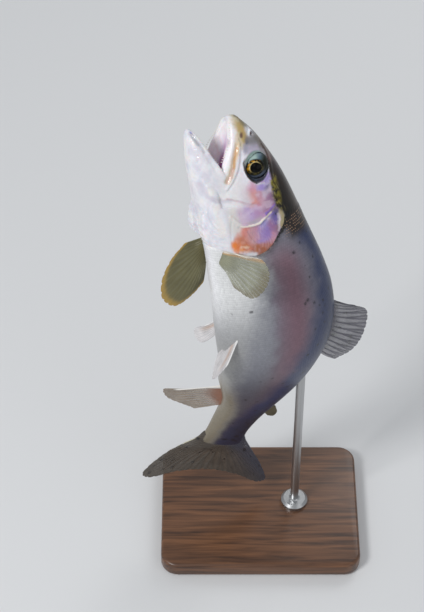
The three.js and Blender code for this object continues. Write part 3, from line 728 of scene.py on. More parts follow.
# sharper markings drawn over the areas, painted shade among them: where each runs, its half width, colour and
# strength
headMarks = {
    "violetLine": ([(66.2, 5.6), (68, 1), (69.8, -3)], 0.75, "8069C0", 0.8),
    "violetFleck": ([(71.4, 2.4), (72.6, -1)], 0.6, "8A74C4", 0.6),
    "paleCheek": ([(62.8, 2.6), (61.6, -3)], 0.8, "D8BCCB", 0.7),
    "paleTemple": ([(48.8, 2.4), (46.6, -4)], 0.7, "E6E0EE", 0.7),
    "cheekFold": ([(60.6, -9), (58.6, -14), (54.6, -19.6), (51, -26)], 0.9, "C39AA6", 0.45),
    "preopercle": (
        [(70.4, 1), (72, -4.2), (74.3, -8.7), (74.4, -13), (73.6, -18), (72, -23)], 0.8, "FDF6EA", 0.95,
    ),
    "creamStreak": ([(89.6, -20), (87.6, -24), (86, -27.6)], 0.55, "F6D9BC", 0.75),
    "creamLow": ([(91.4, -20.4), (90, -25), (88, -29)], 0.5, "F2C08C", 0.6),
    "orangeStreak": ([(90.4, -19), (88.6, -24.6), (85, -30)], 0.6, "DE6A14", 0.7),
    "rustStreak": ([(93, -11), (92.4, -16), (90.4, -20.6)], 0.8, "A9602F", 0.55),
    "noseSpot": ([(11.3, -3.4), (12.3, -3.8)], 1.2, "64423F", 0.9),
    "nostrilEdge": ([(11.4, 4.4), (13.4, 2.6)], 1.3, "F6F6FC", 0.8),
    # painted shade: the black inside of the nostril
    "nostril": ([(14, 5), (14.9, 4.3)], 0.95, "0C0A10", 1.0),
    "snoutShade": ([(1.2, -1), (2.6, 1.6), (5, 4)], 0.6, "5F5748", 0.7),
    "maxillaStripe": (
        [(17, -8.6), (22, -12), (26, -14.6), (30, -16.6), (35, -20), (38.4, -23)], 2.2, "E2CBAC", 0.8,
    ),
    "stripeEdge": ([(18.4, -9.8), (22, -12), (26, -14), (31, -16)], 0.85, "CE9A60", 0.85),
    "stripePink": ([(31, -16.6), (36, -19.8), (39.4, -23)], 0.9, "C99A94", 0.6),
    "maxillaBand": ([(19, -7.6), (28, -11), (34, -14.4), (40, -19.6), (44, -24)], 0.9, "F8F6FA", 0.85),
    "lipShade": ([(13, -12.6), (19, -17.6), (25, -22.8)], 0.5, "C9B2C4", 0.6),
    "jawGrey": ([(2, -35.8), (8, -34), (14, -32.8)], 0.9, "A9ABB8", 0.6),
    "jawTipGrey": ([(1.4, -36.4), (4, -35.6), (8, -34.6)], 1.5, "A6A6B0", 0.6),
    "jawTipViolet": ([(-0.6, -36.4), (0.6, -35.6)], 0.8, "7468C4", 0.8),
    "jawPores": ([(15.5, -37), (19, -38.8)], 0.7, "CCC4D0", 0.45),
    # painted shade along the gular fold
    "jawFold": ([(36, -40.2), (45, -38.6), (49, -34.4), (52, -29), (53.2, -25)], 1.6, "D0C9D4", 0.5),
}


def blendAreas(areas, s, z, paint):
    # every point takes the colours of the areas round it, the nearer the more
    total = paint * 0.03
    share = np.full(len(s), 0.03)
    for points, reach, code in areas.values():
        gap = lineDistance(s, z, points) / (1.25 * reach)
        weight = np.where(gap < 3, np.exp(-(gap ** 2)), 0)
        total += weight[:, None] * colour(code)
        share += weight
    return total / share[:, None]


def wander(values, flat, first, second):
    # edges wander a little, as skin colours do
    return values + 1.5 * (noise(flat + first, 4) - 0.5) + 0.9 * (noise(flat + second, 1.4) - 0.5)


def paintHead(s, y, z, flat):
    # the middle of the underside stays white, and the ridge of the snout doesn't
    side = np.maximum(ramp(np.abs(y), 2, 5), ramp(z, -6.4, -3.6))
    clouds = noise(flat, 6) - 0.5
    plain = blendIn(plainPaint("EAE9EF", len(s)), [
        ("CFCDDA", 0.6 * ramp(clouds, 0.0, 0.34)),
        ("D6D6DE", 0.4 * ramp(noise(flat + 70, 2.2), 0.45, 0.75)),
        ("F4F0EA", 0.6 * ramp(-clouds, 0.0, 0.34)),
    ])
    backS, upZ = wander(s, flat, 60, 90), wander(z, flat, 30, 10)
    paint = mixPaint(plain, blendAreas(headAreas, backS, upZ, plain), side)
    for points, width, code, strength in headMarks.values():
        gap = lineDistance(0.5 * (s + backS), 0.5 * (z + upZ), points)
        paint = blendIn(paint, [(code, strength * fall(gap, 0.4 * width, 1.5 * width) * side)])
    # fine streaks that fan back over the gill cover, and a mottled cheek
    fan = 0.5 + 0.5 * np.sin(np.arctan2(z + 2, s - 52) * 110 + 9 * noise(flat, 5))
    plate = ramp(s, 75, 78) * fall(s, 93, 96) * ramp(z, -32, -28) * fall(z, 3, 6) * side
    cheek = ramp(s, 46, 50) * fall(s, 68, 70) * ramp(z, -22, -18) * fall(z, 4, 7) * side
    paint = blendIn(paint, [
        ("EBCBD2", 0.26 * fan * plate * ramp(noise(flat, 3), 0.35, 0.65)),
        ("8C6A9C", 0.18 * (1 - fan) * plate * ramp(noise(flat + 5, 3), 0.45, 0.7)),
        ("E8D8EA", 0.4 * cheek * ramp(noise(flat * (1, 1, 0.45), 2.2), 0.5, 0.75)),
    ])
    # dark cap of the head, with a painted lilac sheen on the crown, mottled olive along its lower edge
    over = upZ - edges["capEdge"](s)
    dark = blendAreas(capAreas, backS, upZ, plainPaint("2A201A", len(s)))
    dark = dark * (0.75 + 0.5 * noise(flat + 20, 3))[:, None]
    olive = ramp(over, -1.6, 0.4) * fall(over, 3, 7) * ramp(s, 45, 50) * fall(s, 66, 76)
    # socket: blue-green towards the snout, dark behind, with a dark lower lid
    inside = fall(orbitDistance(s, z), 0.97, 1.06) * side
    lowerLid = lineDistance(s, z, [(26, -5.6), (30, -8.4), (35, -9), (40, -8), (44, -6), (46.6, -3.2)])
    backLid = lineDistance(s, z, [(46.6, -3.2), (46.2, 2), (43.4, 6.6), (39, 9)])
    return blendIn(mixPaint(paint, dark, ramp(over, -0.8, 1.2)), [
        ("5A4C10", 0.8 * olive * ramp(noise(flat + 40, 3), 0.35, 0.6)),
        ("8E8428", 0.85 * olive * ramp(noise(flat + 44, 2), 0.52, 0.7)),
        ("B4AC68", 0.6 * olive * ramp(noise(flat + 47, 1.2), 0.66, 0.8)),
        ("A9BFB8", inside * fall(s, 29, 33)),
        ("4C5260", inside * ramp(s, 30, 34)),
        ("34322C", 0.9 * fall(lowerLid, 0.35, 0.95) * side * ramp(s, 25, 30)),
        ("3C3844", 0.75 * fall(backLid, 0.4, 1.1) * side),
    ])


def paintMouth(s, y, z):
    # white, with a painted shadow cast by the left lip: a mauve band inside the lip that deepens towards the
    # corner of the mouth
    # both measures run across the camera's view: the first down it, the second across it from the edge of the
    # painted lip shadow
    deep = 1.286 * s + 0.393 * y - 0.48 * z
    fromLipShadow = 0.316 * s + 0.534 * y + 1.292 * z + 7.7 + 0.22 * (deep - 20)
    return blendIn(plainPaint("FFFBFE", len(s)), [
        ("E6D6E8", 0.85 * ramp(fromLipShadow, -7, -1) * ramp(deep, 14, 26)),
        ("CFA6CC", 0.8 * ramp(fromLipShadow, -3.4, 0.6) * ramp(deep, 22, 34)),
        ("A8549C", 0.9 * ramp(fromLipShadow, -4, 0.4) * ramp(deep, 38, 48)),
        ("B9749F", 0.8 * ramp(s, 40, 56)),
    ])


def paintFish(flat):
    s, y, z = -flat[:, 0], flat[:, 1], flat[:, 2]
    angle = backAngle(s, z)
    onHead = ramp(edges["coverEdge"](z) + 1.0 - s, -2.5, 2.5)
    paint = mixPaint(paintTrunk(s, angle, flat), paintHead(s, y, z, flat), onHead)
    # painted shadow in the gap behind the gill cover: a dark slot along its upper edge and a brown shade
    # along its lower edge
    side = ramp(np.abs(y), 2, 5)
    slot = lineDistance(s, z, [(78.4, 14.4), (82, 12.4), (85.4, 8.8), (89, 3.8), (92.6, -1.2)])
    lowGapShade = lineDistance(s, z, [(93, -2), (96.6, -9), (97.6, -16)])
    paint = blendIn(paint, [
        ("0B0806", 0.97 * fall(slot / (1 - 0.6 * ramp(s, 84, 92)), 1.5, 2.9) * side),
        ("5E4038", 0.8 * fall(lowGapShade, 0.4, 1.2) * side),
    ])
    return mixPaint(addSpots(paint, s, y, angle), paintMouth(s, y, z), mouthLining(s, y, z))


def setInputs(node, values):
    for name, value in values.items():
        node.inputs[name].default_value = value


def addNode(tree, kind, values=None, **settings):
    node = tree.nodes.new("ShaderNode" + kind)
    for name, value in settings.items():
        setattr(node, name, value)
    setInputs(node, values or {})
    return node


def wire(tree, *wires):
    for fromNode, output, toNode, socket in wires:
        tree.links.new(fromNode.outputs[output], toNode.inputs[socket])


def newMaterial(name, values):
    material = bpy.data.materials.new(name)
    material.use_nodes = True
    shader = material.node_tree.nodes["Principled BSDF"]
    setInputs(shader, values)
    return material, material.node_tree, shader


def makeMottleGroup():
    # small changes of tone, gloss and height that every wet surface shares
    group = bpy.data.node_groups.new("wetMottle", "ShaderNodeTree")
    for way, name, kind in (
        ("INPUT", "Colour", "Color"), ("INPUT", "Scale", "Float"), ("INPUT", "Amount", "Float"),
        ("OUTPUT", "Colour", "Color"), ("OUTPUT", "Roughness", "Float"), ("OUTPUT", "Height", "Float"),
    ):
        group.interface.new_socket(name, in_out=way, socket_type="NodeSocket" + kind)
    start, end = group.nodes.new("NodeGroupInput"), group.nodes.new("NodeGroupOutput")
    place = addNode(group, "TexCoord")
    cloud = addNode(group, "TexNoise", {"Detail": 4})
    tone = addNode(group, "MapRange", {"From Min": 0.3, "From Max": 0.7})
    share = addNode(group, "Math", operation="MULTIPLY")
    dark = addNode(group, "Mix", {"B": (0.35, 0.33, 0.36, 1)}, data_type="RGBA", blend_type="MULTIPLY")
    gloss = addNode(group, "MapRange", {"To Min": 0.24, "To Max": 0.42})
    wire(
        group, (place, "Object", cloud, "Vector"), (start, "Scale", cloud, "Scale"),
        (cloud, "Fac", tone, "Value"), (tone, "Result", share, 0), (start, "Amount", share, 1),
        (share, 0, dark, "Factor"), (start, "Colour", dark, "A"), (dark, "Result", end, "Colour"),
        (cloud, "Fac", gloss, "Value"), (gloss, "Result", end, "Roughness"), (cloud, "Fac", end, "Height"),
    )
    return group


wetMottle = makeMottleGroup()
wetLook = {
    "Coat Weight": 0.32, "Coat Roughness": 0.1, "Specular IOR Level": 0.3, "Subsurface Weight": 0.22,
    "Subsurface Radius": (1.0, 0.4, 0.3), "Subsurface Scale": 0.005,
}


def addRelief(tree, shader, source, output, strength, distance):
    relief = addNode(tree, "Bump", {"Strength": strength, "Distance": distance})
    wire(tree, (source, output, relief, "Height"), (relief, "Normal", shader, "Normal"))


def wetMaterial(name, scale, amount, relief, changes, clear=False):
    material, tree, shader = newMaterial(name, wetLook | changes)
    paint = addNode(tree, "Attribute", attribute_name="paint")
    mottle = addNode(tree, "Group", {"Scale": scale, "Amount": amount}, node_tree=wetMottle)
    wire(
        tree, (paint, "Color", mottle, "Colour"), (mottle, "Colour", shader, "Base Color"),
        (mottle, "Roughness", shader, "Roughness"),
    )
    addRelief(tree, shader, mottle, "Height", relief, 0.0004)
    if clear:
        cover = addNode(tree, "Attribute", attribute_name="cover")
        wire(tree, (cover, "Fac", shader, "Alpha"))
    return material


opaque = {"Subsurface Weight": 0}
skinMaterial = wetMaterial("wetSkin", 420, 0.10, 0.25, {})
scaleMaterial = wetMaterial("wetScales", 500, 0.10, 0.12, opaque)
finMaterial = wetMaterial("wetFin", 300, 0.12, 0.2, opaque | {"Coat Weight": 0.35}, clear=True)
mouthMaterial = wetMaterial("wetMouth", 260, 0.10, 0.2, {})
eyeMaterial = wetMaterial("wetEye", 500, 0.03, 0.0, opaque | {
    "Coat Weight": 0.2, "Coat Roughness": 0.02, "Specular IOR Level": 0.05,
})


def finishPiece(piece, material, slot, *nodes):
    piece.data.materials.clear()
    piece.data.materials.append(material)
    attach(piece, "root")
    if nodes:
        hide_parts(*nodes)


def poseFish(piece, flat, paint, angle=180):
    # the painted straight piece, bent into the pose
    storePaint(piece, paint)
    setPoints(piece, bendFish(flat))
    smoothShade(piece, angle)


def makeSkin():
    skin = buildSkinForm()
    print("skin form:", len(skin.data.polygons), "faces")
    shapeHead(skin)
    applyModifier(skin, "DECIMATE", ratio=skinMake["keep"])
    flat = pointsOf(skin)
    poseFish(skin, flat, paintFish(flat))
    finishPiece(
        skin, skinMaterial, "skin", "head", "lower_jaw", "maxilla_left", "maxilla_right", "gill_cover_left",
        "gill_cover_right", "trunk", "tail",
    )
    print("skin done:", len(skin.data.polygons), "faces")


makeSkin()

scaleCoat = {
    "start": 78.0, "end": 345.0, "pitch": 2.0, "row": 1.65,
    "tailRow": 0.78, "length": 1.75, "width": 1.42, "lift": 0.2, "sink": -0.12, "patch": 0.003,
    "lateral": 86, "behindCover": 1.6,
}
scaleShape = np.array([  # along, across, height between sink and lift
    (0.0, -0.34, 0.0), (0.0, 0.34, 0.0), (0.5, 0.5, 0.45), (0.84, 0.36, 0.8), (1.0, 0.0, 1.0),
    (0.84, -0.36, 0.8), (0.5, -0.5, 0.45), (0.6, 0.0, 1.15),
])
scaleFaces = np.array([(i, (i + 1) % 7, 7) for i in range(7)] + [(0, i + 1, i) for i in range(1, 6)])


def scaleRoots():
    # rows a fixed distance apart, counted from the lateral line, on every other column half a row on
    roots = []
    angles = np.linspace(0, math.pi, 241)
    s, column = scaleCoat["start"], 0
    while s < scaleCoat["end"]:
        small = 1 - (1 - scaleCoat["tailRow"]) * ramp(np.array(s), 200, 340)
        y, z = skinSection(np.full(241, s), angles)
        arc = np.concatenate(([0], np.cumsum(np.hypot(np.diff(y), np.diff(z)))))
        lateral = np.interp(math.radians(scaleCoat["lateral"]), angles, arc)
        gap = scaleCoat["row"] * small
        rows = np.arange(-math.floor(lateral / gap), math.ceil((arc[-1] - lateral) / gap))
        places = lateral + (rows + 0.5 * (column % 2)) * gap
        places = places[(places > 0.2) & (places < arc[-1] - 0.2)]
        for place, angle in zip(places, np.interp(places, arc, angles)):
            if s > edges["coverEdge"](np.interp(place, arc, z)) - scaleCoat["behindCover"]:
                roots.append((s, angle, place / arc[-1], gap))
        s += scaleCoat["pitch"] * small
        column += 1
    return np.array(roots)


def makeScales(name, side, roots):
    draw = np.random.default_rng(11 if side > 0 else 12)
    count = len(roots)
    s0, angle0, share, gap = roots.T
    length = gap / scaleCoat["row"] * scaleCoat["pitch"] * scaleCoat["length"]
    length = length * (0.95 + 0.1 * draw.random(count))
    width = gap * scaleCoat["width"]
    lift = scaleCoat["lift"] * (0.8 + 0.4 * draw.random(count))
    u, v, h = scaleShape.T
    s = s0[:, None] + length[:, None] * u
    # the width as an angle of the section, measured from the ring itself
    step = 0.01
    y0, z0 = skinSection(s0, angle0)
    y1, z1 = skinSection(s0, np.minimum(angle0 + step, math.pi))
    perAngle = np.maximum(np.hypot(y1 - y0, z1 - z0) / step, 3.0)
    angle = angle0[:, None] + width[:, None] * v / perAngle[:, None]
    height = scaleCoat["sink"] + (lift - scaleCoat["sink"])[:, None] * h
    y, z = bodySection(s, angle, height - line["skinInset"](s))
    flat = np.stack((-s, y * side, z), axis=2).reshape(-1, 3)
    faces = (np.arange(count)[:, None, None] * len(scaleShape) + scaleFaces).reshape(-1, 3)
    piece = newPiece(name, flat, [], faces[:, ::side].tolist())
    tip = np.tile(u, count)
    nape = fall(-flat[:, 0], 90, 97) * ramp(flat[:, 2], 6, 10) * fall(flat[:, 2], 25, 30)
    chosen = np.repeat(draw.random(count), len(scaleShape))
    # the nape's scales are darker, and the tips of some take gold: partly their own colour, partly painted
    # glints
    paint = blendIn(paintFish(flat), [
        ("2A211D", 0.5 * nape),
        ("DDB08C", 0.9 * nape * (tip == 1) * ramp(chosen, 0.1, 0.45)),
    ])
    tone = np.repeat(0.94 + 0.12 * draw.random(count), len(scaleShape)) * (1.06 - 0.16 * ramp(tip, 0.7, 1.0))
    poseFish(piece, flat, paint * tone[:, None], 40)
    # each scale is a small patch at its root's place on the unrolled skin
    rootU = (s0 - scaleCoat["start"]) / (scaleCoat["end"] + 8 - scaleCoat["start"])
    uv = np.stack((
        (rootU * 0.98 + 0.005)[:, None] + scaleCoat["patch"] * u,
        (share * 0.98 + 0.01)[:, None] + scaleCoat["patch"] * v,
    ), axis=2).reshape(-1, 2)
    piece.data.uv_layers.new(name="OFBake").data.foreach_set("uv", uv[cornersOf(piece)].ravel())
    finishPiece(piece, scaleMaterial, "skin")
    print(name, count, "scales")


allRoots = scaleRoots()
makeScales("scales_left", 1, allRoots)
makeScales("scales_right", -1, allRoots)

pelvicLook = {
    "rays": 10, "root": 2.4, "tone": "E4DEDC", "membrane": "DAD8DA", "lead": "FBFAF8", "clear": 0.66,
}
fins = {
    "dorsal_fin": {
        "base": [(162, 0, 39), (185, 0, 38), (208, 0, 33)],
        "tips": [(176, 0, 64), (184, 0, 76), (203, 0, 76), (219, 0, 69), (228, 0, 58)],
        "rays": 13, "sweep": 2, "root": 2.8, "tone": "4B4956", "membrane": "6F6C78", "lead": "55535E",
        "clear": 0.55, "spots": 34,
    },
    "adipose_fin": {
        "base": [(281, 0, 20), (289, 0, 19), (294, 0, 17)],
        "tips": [(289, 0, 28), (297, 0, 32), (303, 0, 31), (303, 0, 26)],
        "rays": 0, "root": 2.6, "tone": "6C6652", "membrane": "6C6652", "lead": "3A3A38",
        "clear": 0.95, "spots": 2,
    },
    "anal_fin": {
        "base": [(252, 0, -24), (268, 0, -20), (285, 0, -15)],
        "tips": [(262, -3, -62), (266, -4, -71), (280, -3, -66), (292, -2, -50), (299, 0, -37)],
        "rays": 12, "root": 2.6, "tone": "96806A", "membrane": "9C8E7A", "lead": "FAF8F2", "clear": 0.5,
    },
    "caudal_fin": {
        "base": [(334, 0, 16), (344, 0, 8), (346, 0, 0), (344, 0, -8), (334, 0, -16)],
        "tips": [
            (350, 0, 28), (368, 0, 43), (386, 0, 53), (389, 0, 47), (382, 0, 26), (378, 0, 0), (382, 0, -27),
            (390, 0, -49), (388, 0, -55), (368, 0, -44), (350, 0, -28),
        ],
        "rays": 25, "root": 3.6, "tone": "4A443E", "membrane": "5E564D", "lead": "E4DEC4",
        "clear": 0.78, "spots": 24,
    },
    "pelvic_fin_left": pelvicLook | {
        "base": [(161, 15, -35), (170, 8, -41)],
        "tips": [(183, 21, -47), (200, 19, -53), (205, 15, -53), (201, 8, -50), (188, 5, -47)],
    },
    "pelvic_fin_right": pelvicLook | {
        "base": [(165, -12, -38), (173, -7, -41)],
        "tips": [(183, -23, -47), (197, -29, -52), (202, -26, -53), (200, -18, -52), (190, -11, -49)],
    },
    "pectoral_fin_left": {
        "base": [(89, 16, -36), (98, 14, -41)],
        "tips": [(90, 36, -28), (90, 49, -21), (97, 55, -20), (108, 52, -24), (116, 45, -33), (112, 30, -40)],
        "rays": 13, "root": 2.8, "tone": "8C8C74", "membrane": "A6A896", "lead": "F4EEE2", "clear": 0.46,
    },
    "pectoral_fin_right": {
        "base": [(89, -16, -36), (98, -14, -41)],
        "tips": [
            (90, -21, -54), (101, -25, -65), (122, -30, -75), (145, -32, -76), (154, -30, -69),
            (145, -26, -57), (131, -22, -46),
        ],
        "rays": 14, "root": 2.8, "tone": "5F5836", "membrane": "6E6A48", "lead": "B89648", "clear": 0.85,
    },
}
finSheet = {"thickness": 0.36, "reach": 0.998, "notch": 0.022, "wave": 0.7, "ray": 0.24, "leadEdge": 0.2}


def rayRelief(u, v, rays):
    # each ray is a ridge that splits in two past its middle
    if rays == 0:
        return np.zeros(len(u))
    place = np.abs((u * rays) % 1 - 0.5)
    return hump(place - 0.24 * ramp(v, 0.45, 0.95), 0.13) * (1 - 0.25 * ramp(v, 0.6, 1.0))


def finMarks(name, make, u, v):
    lead = fall(u, 0.03, 0.10)
    if name == "caudal_fin":
        return [
            (make["lead"], 0.85 * fall(1 - u, 0.02, 0.05) * ramp(v, 0.3, 0.6)),
            ("3E4A63", 0.55 * fall(u, 0.1, 0.5)),
        ]
    if name == "anal_fin":
        return [("B0705C", 0.6 * fall(v, 0.1, 0.5)), (make["lead"], 0.95 * lead)]
    if name == "pectoral_fin_left":
        return [
            ("EDE6DA", 0.9 * fall(u, 0.12, 0.3)),
            ("C79A5E", 0.8 * hump(u - 0.22, 0.05)),
            ("6B5A2E", 0.6 * ramp(v, 0.72, 0.95) * ramp(u, 0.3, 0.5)),
        ]
    if name == "pectoral_fin_right":
        return [(make["lead"], 0.85 * ramp(v, 0.86, 0.97))]
    if "pelvic" in name:
        return [("C99A74", 0.5 * hump(u - 0.3, 0.12) * fall(v, 0.5, 0.9)), (make["lead"], 0.9 * lead)]
    return [(make["lead"], 0.7 * lead)]


def finSpots(name, make, flat):
    marks = []
    draw = np.random.default_rng(len(name))
    for spotU, spotV, size in draw.random((make.get("spots", 0), 3)):
        base, tip = (roundCurve(make[edge])(np.array([spotU]))[0] for edge in ("base", "tips"))
        place = base + (tip - base) * (0.12 + 0.8 * spotV)
        gap = np.hypot(-flat[:, 0] - place[0], flat[:, 2] - place[2])
        marks.append(("1B1B1F", 0.75 * fall(gap, 0.5 + 0.6 * size, 1.0 + 0.8 * size)))
    return marks


def makeFin(name, make):
    rays, sheet = make["rays"], finSheet["thickness"]
    across = max(rays * 8, 24)
    bpy.ops.mesh.primitive_grid_add(x_subdivisions=across, y_subdivisions=30, size=1, calc_uvs=True)
    piece = justMade(name + "_look")
    grid = pointsOf(piece)
    u, v = grid[:, 0] + 0.5, grid[:, 1] + 0.5
    base, tips = roundCurve(make["base"])(u), roundCurve(make["tips"])(u)
    # the edge is scalloped a little between the rays, and the membrane has soft waves
    notch = finSheet["notch"] * (np.abs(np.sin(math.pi * u * rays)) ** 0.5 - 1) * (rays > 0)
    flat = base + (tips - base) * (v * (finSheet["reach"] + notch * ramp(v, 0.7, 1)))[:, None]
    flat[:, 1] += make.get("sweep", 0) * np.sin(math.pi * v)
    flat[:, 1] += finSheet["wave"] * np.sin(u * 9 + 2 * v) * ramp(v, 0.4, 1.0) * (rays > 0)
    setPoints(piece, flat * (-1, 1, 1))
    applyModifier(piece, "SOLIDIFY", thickness=sheet, offset=0)
    corners = cornersOf(piece)
    uv = np.empty(len(corners) * 2)
    piece.data.uv_layers.active.data.foreach_get("uv", uv)
    coords = np.zeros((len(piece.data.vertices), 2))
    coords[corners] = uv.reshape(-1, 2)
    u, v = coords.T
    ridge, lead = rayRelief(u, v, rays), fall(u, 0.0, 0.05)
    thick = 0.5 * (make["root"] - sheet) * fall(v, 0.0, 0.42)
    thick += finSheet["ray"] * ridge + finSheet["leadEdge"] * lead
    setPoints(piece, pointsOf(piece) + normalsOf(piece) * thick[:, None])
    flat = pointsOf(piece)
    fleshy = fall(v, 0.08, 0.4)
    cloud = noise(flat, 5)
    paint = plainPaint(make["membrane"], len(u))
    paint = blendIn(paint, [(make["tone"], 0.8 * ridge), (make["tone"], 0.7 * fleshy)])
    paint = blendIn(paint * (0.86 + 0.28 * cloud)[:, None], finMarks(name, make, u, v))
    paint = blendIn(paint, finSpots(name, make, flat))
    solid = np.maximum(np.maximum(0.75 * ridge, fleshy), lead) - 0.15 * cloud
    cover = np.clip(make["clear"] + (1 - make["clear"]) * solid, 0, 1)
    piece.data.attributes.new("cover", "FLOAT", "POINT").data.foreach_set("value", cover)
    poseFish(piece, flat, paint, 60)
    finishPiece(piece, finMaterial, "fin", name)


for finName, finMake in fins.items():
    makeFin(finName, finMake)
print("fins done")

eyeLook = {
    "pupil": 3.9, "iris": 6.2, "irisBack": -0.5, "irisUp": -1.9, "bulge": 0.45, "hollow": 0.35,
    "hollowAt": 5.0,
}


def makeEye(name, side):
    bpy.ops.mesh.primitive_uv_sphere_add(segments=96, ring_count=64, radius=1)
    piece = justMade(name + "_look")
    p = pointsOf(piece)
    along, up, high = (p * (eyeSize["radius"], eyeSize["radius"], eyeSize["depth"])).T
    r = np.hypot(along, up)
    front = high > 0
    high = high + eyeLook["bulge"] * fall(r, eyeLook["pupil"] * 0.6, eyeLook["pupil"] * 1.15) * front
    high -= eyeLook["hollow"] * hump(r - eyeLook["hollowAt"], 1.0) * front
    flat = np.stack((-(eyeSize["back"] + along), side * (eyeSize["side"] + high), eyeSize["up"] + up), axis=1)
    setPoints(piece, flat)
    editMesh(piece, outward)
    back, rise = along - eyeLook["irisBack"], up - eyeLook["irisUp"]
    reach = np.hypot(back / 0.94, rise / 1.04)
    around = np.arctan2(rise, -back)  # 0 towards the snout, a quarter turn towards the back
    toSnout, toBelly = np.cos(around), -np.sin(around)
    white = ramp(reach, eyeLook["iris"] - 0.3, eyeLook["iris"] + 0.5)
    iris = fall(reach, eyeLook["iris"] - 0.4, eyeLook["iris"] + 0.3)
    grain = noise(np.stack((around * 2.4, reach * 0.5, 0 * reach), axis=1) + 40, 0.5)
    bright = ramp(0.85 * toSnout + 0.5 * toBelly, -0.2, 0.75)
    pupil = eyeLook["pupil"] + 0.35 * np.maximum(toSnout, 0) ** 3
    poseFish(piece, flat, blendIn(plainPaint("535C6C", len(p)), [
        ("A3BAB4", white * ramp(toSnout, 0.05, 0.5)),
        ("5B7280", white * ramp(toSnout, 0.2, 0.7) * ramp(-toBelly, 0.2, 0.7)),
        ("23261F", white * ramp(-toBelly, 0.6, 0.95)),
        ("15140C", iris),
        ("CC942A", iris * bright * ramp(grain, 0.3, 0.6)),
        ("4C461E", iris * 0.7 * (1 - bright) * ramp(grain, 0.4, 0.7)),
        ("F0DC9A", iris * (0.1 + 0.75 * bright) * hump(reach - pupil - 0.25, 0.24)),
        ("17140E", 0.75 * hump(reach - eyeLook["iris"], 0.45)),
        ("000000", fall(reach, pupil - 0.2, pupil + 0.12)),
    ]))
    finishPiece(piece, eyeMaterial, "eye", name)


makeEye("eye_left", 1)
makeEye("eye_right", -1)
print("eyes done")

tongueForm = {"start": 9.0, "end": 40.0, "top": -32.4, "depth": 7, "groove": 0.5}
tongueHalfWidth = smoothCurve([(9, 2), (13, 4.6), (32, 5.4), (40, 4)])


def tongueSection(s, angle):
    top = tongueForm["top"]
    low = top - tongueForm["depth"]
    return section(angle, top + 0.3 * np.sin(s / 6), low, tongueHalfWidth(s), top - 3, 0.9, 0.8, 0.8)


def makeTongue():
    stations = np.linspace(tongueForm["start"], tongueForm["end"], 40)
    piece = rollLoft("tongue_look", stations, tongueSection, 40)
    flat = pointsOf(piece)
    groove = hump(flat[:, 1], 0.9) * (flat[:, 2] > tongueForm["top"] - 1.5)
    flat[:, 2] -= tongueForm["groove"] * groove
    poseFish(piece, flat, blendIn(plainPaint("E3C4CE", len(flat)), [
        ("B98BA0", 0.6 * ramp(-flat[:, 0], 24, 38)),
        ("C79BAE", 0.5 * groove),
    ]))
    finishPiece(piece, mouthMaterial, "mouth_lining", "tongue")


teeth = {"long": 1.3, "upper": (3.0, 25.0, 17), "lower": (2.0, 25.0, 15)}


def toothPlaces():
    # the root of each tooth and the way it points
    for s in np.linspace(*teeth["upper"]):
        for side in (1, -1):
            low = line["lowLine"](s) + 0.9 * side * line["lipLean"](s)
            yield (-s, side * (line["mouthHalfWidth"](s) - 0.2), low + 0.9), (0.25, -0.15 * side, -1.0)
    for s in np.linspace(*teeth["lower"]):
        for side in (1, -1):
            place = (-s, side * (line["jawHalfWidth"](s) - 2.2), line["jawRim"](s) - 0.5)
            yield place, (-0.2, -0.1 * side, 1.0)


def makeTeeth():
    bpy.ops.mesh.primitive_cone_add(vertices=6, radius1=0.42, radius2=0.05, depth=1.0)
    cone = bpy.context.active_object
    shape = pointsOf(cone) + (0, 0, 0.5)
    sides = [tuple(face.vertices) for face in cone.data.polygons]
    bpy.data.objects.remove(cone)
    flat, faces = [], []
    for place, lean in toothPlaces():
        faces += [tuple(i + len(flat) for i in face) for face in sides]
        point = np.array(lean) / np.linalg.norm(lean)
        flat += list(place + shape * (1, 1, 0) + shape[:, 2:] * point * teeth["long"])
    piece = newPiece("teeth", flat, [], faces)
    editMesh(piece, outward)
    poseFish(piece, np.array(flat), plainPaint("F1ECDD", len(flat)), 50)
    finishPiece(piece, mouthMaterial, "mouth_lining")


makeTongue()
makeTeeth()
print("mouth done")

stand = {
    "length": 0.164, "width": 0.124, "height": 0.014, "corner": 0.014, "edge": 0.0028,
    "rodX": 0.029, "rodY": 0.004, "rodRadius": 0.0035, "rodTop": 0.196,
    "footRadius": 0.011, "footHeight": 0.005, "footSlope": 0.002,
}


def stretchedNoise(tree, stretch, values):
    place = addNode(tree, "TexCoord")
    mapping = addNode(tree, "Mapping", {"Scale": stretch})
    grain = addNode(tree, "TexNoise", values)
    wire(tree, (place, "Object", mapping, "Vector"), (mapping, "Vector", grain, "Vector"))
    return grain


def woodMaterial():
    material, tree, shader = newMaterial("darkWood", {
        "Roughness": 0.42, "Coat Weight": 0.25, "Coat Roughness": 0.2,
    })
    grain = stretchedNoise(tree, (6, 90, 90), {"Scale": 3, "Detail": 8, "Distortion": 0.6})
    tones = addNode(tree, "ValToRGB")
    for element, position, code in zip(tones.color_ramp.elements, (0.3, 0.72), ("3B2416", "7A5236")):
        element.position = position
        element.color = (*colour(code), 1)
    wire(tree, (grain, "Fac", tones, "Fac"), (tones, "Color", shader, "Base Color"))
    addRelief(tree, shader, grain, "Fac", 0.15, 0.0003)
    return material


def steelMaterial():
    steel = {"Base Color": (*colour("B9BABB"), 1), "Metallic": 1}
    material, tree, shader = newMaterial("brushedSteel", steel)
    brush = stretchedNoise(tree, (900, 900, 12), {"Scale": 1, "Detail": 3})
    gloss = addNode(tree, "MapRange", {"To Min": 0.22, "To Max": 0.42})
    wire(tree, (brush, "Fac", gloss, "Value"), (gloss, "Result", shader, "Roughness"))
    return material


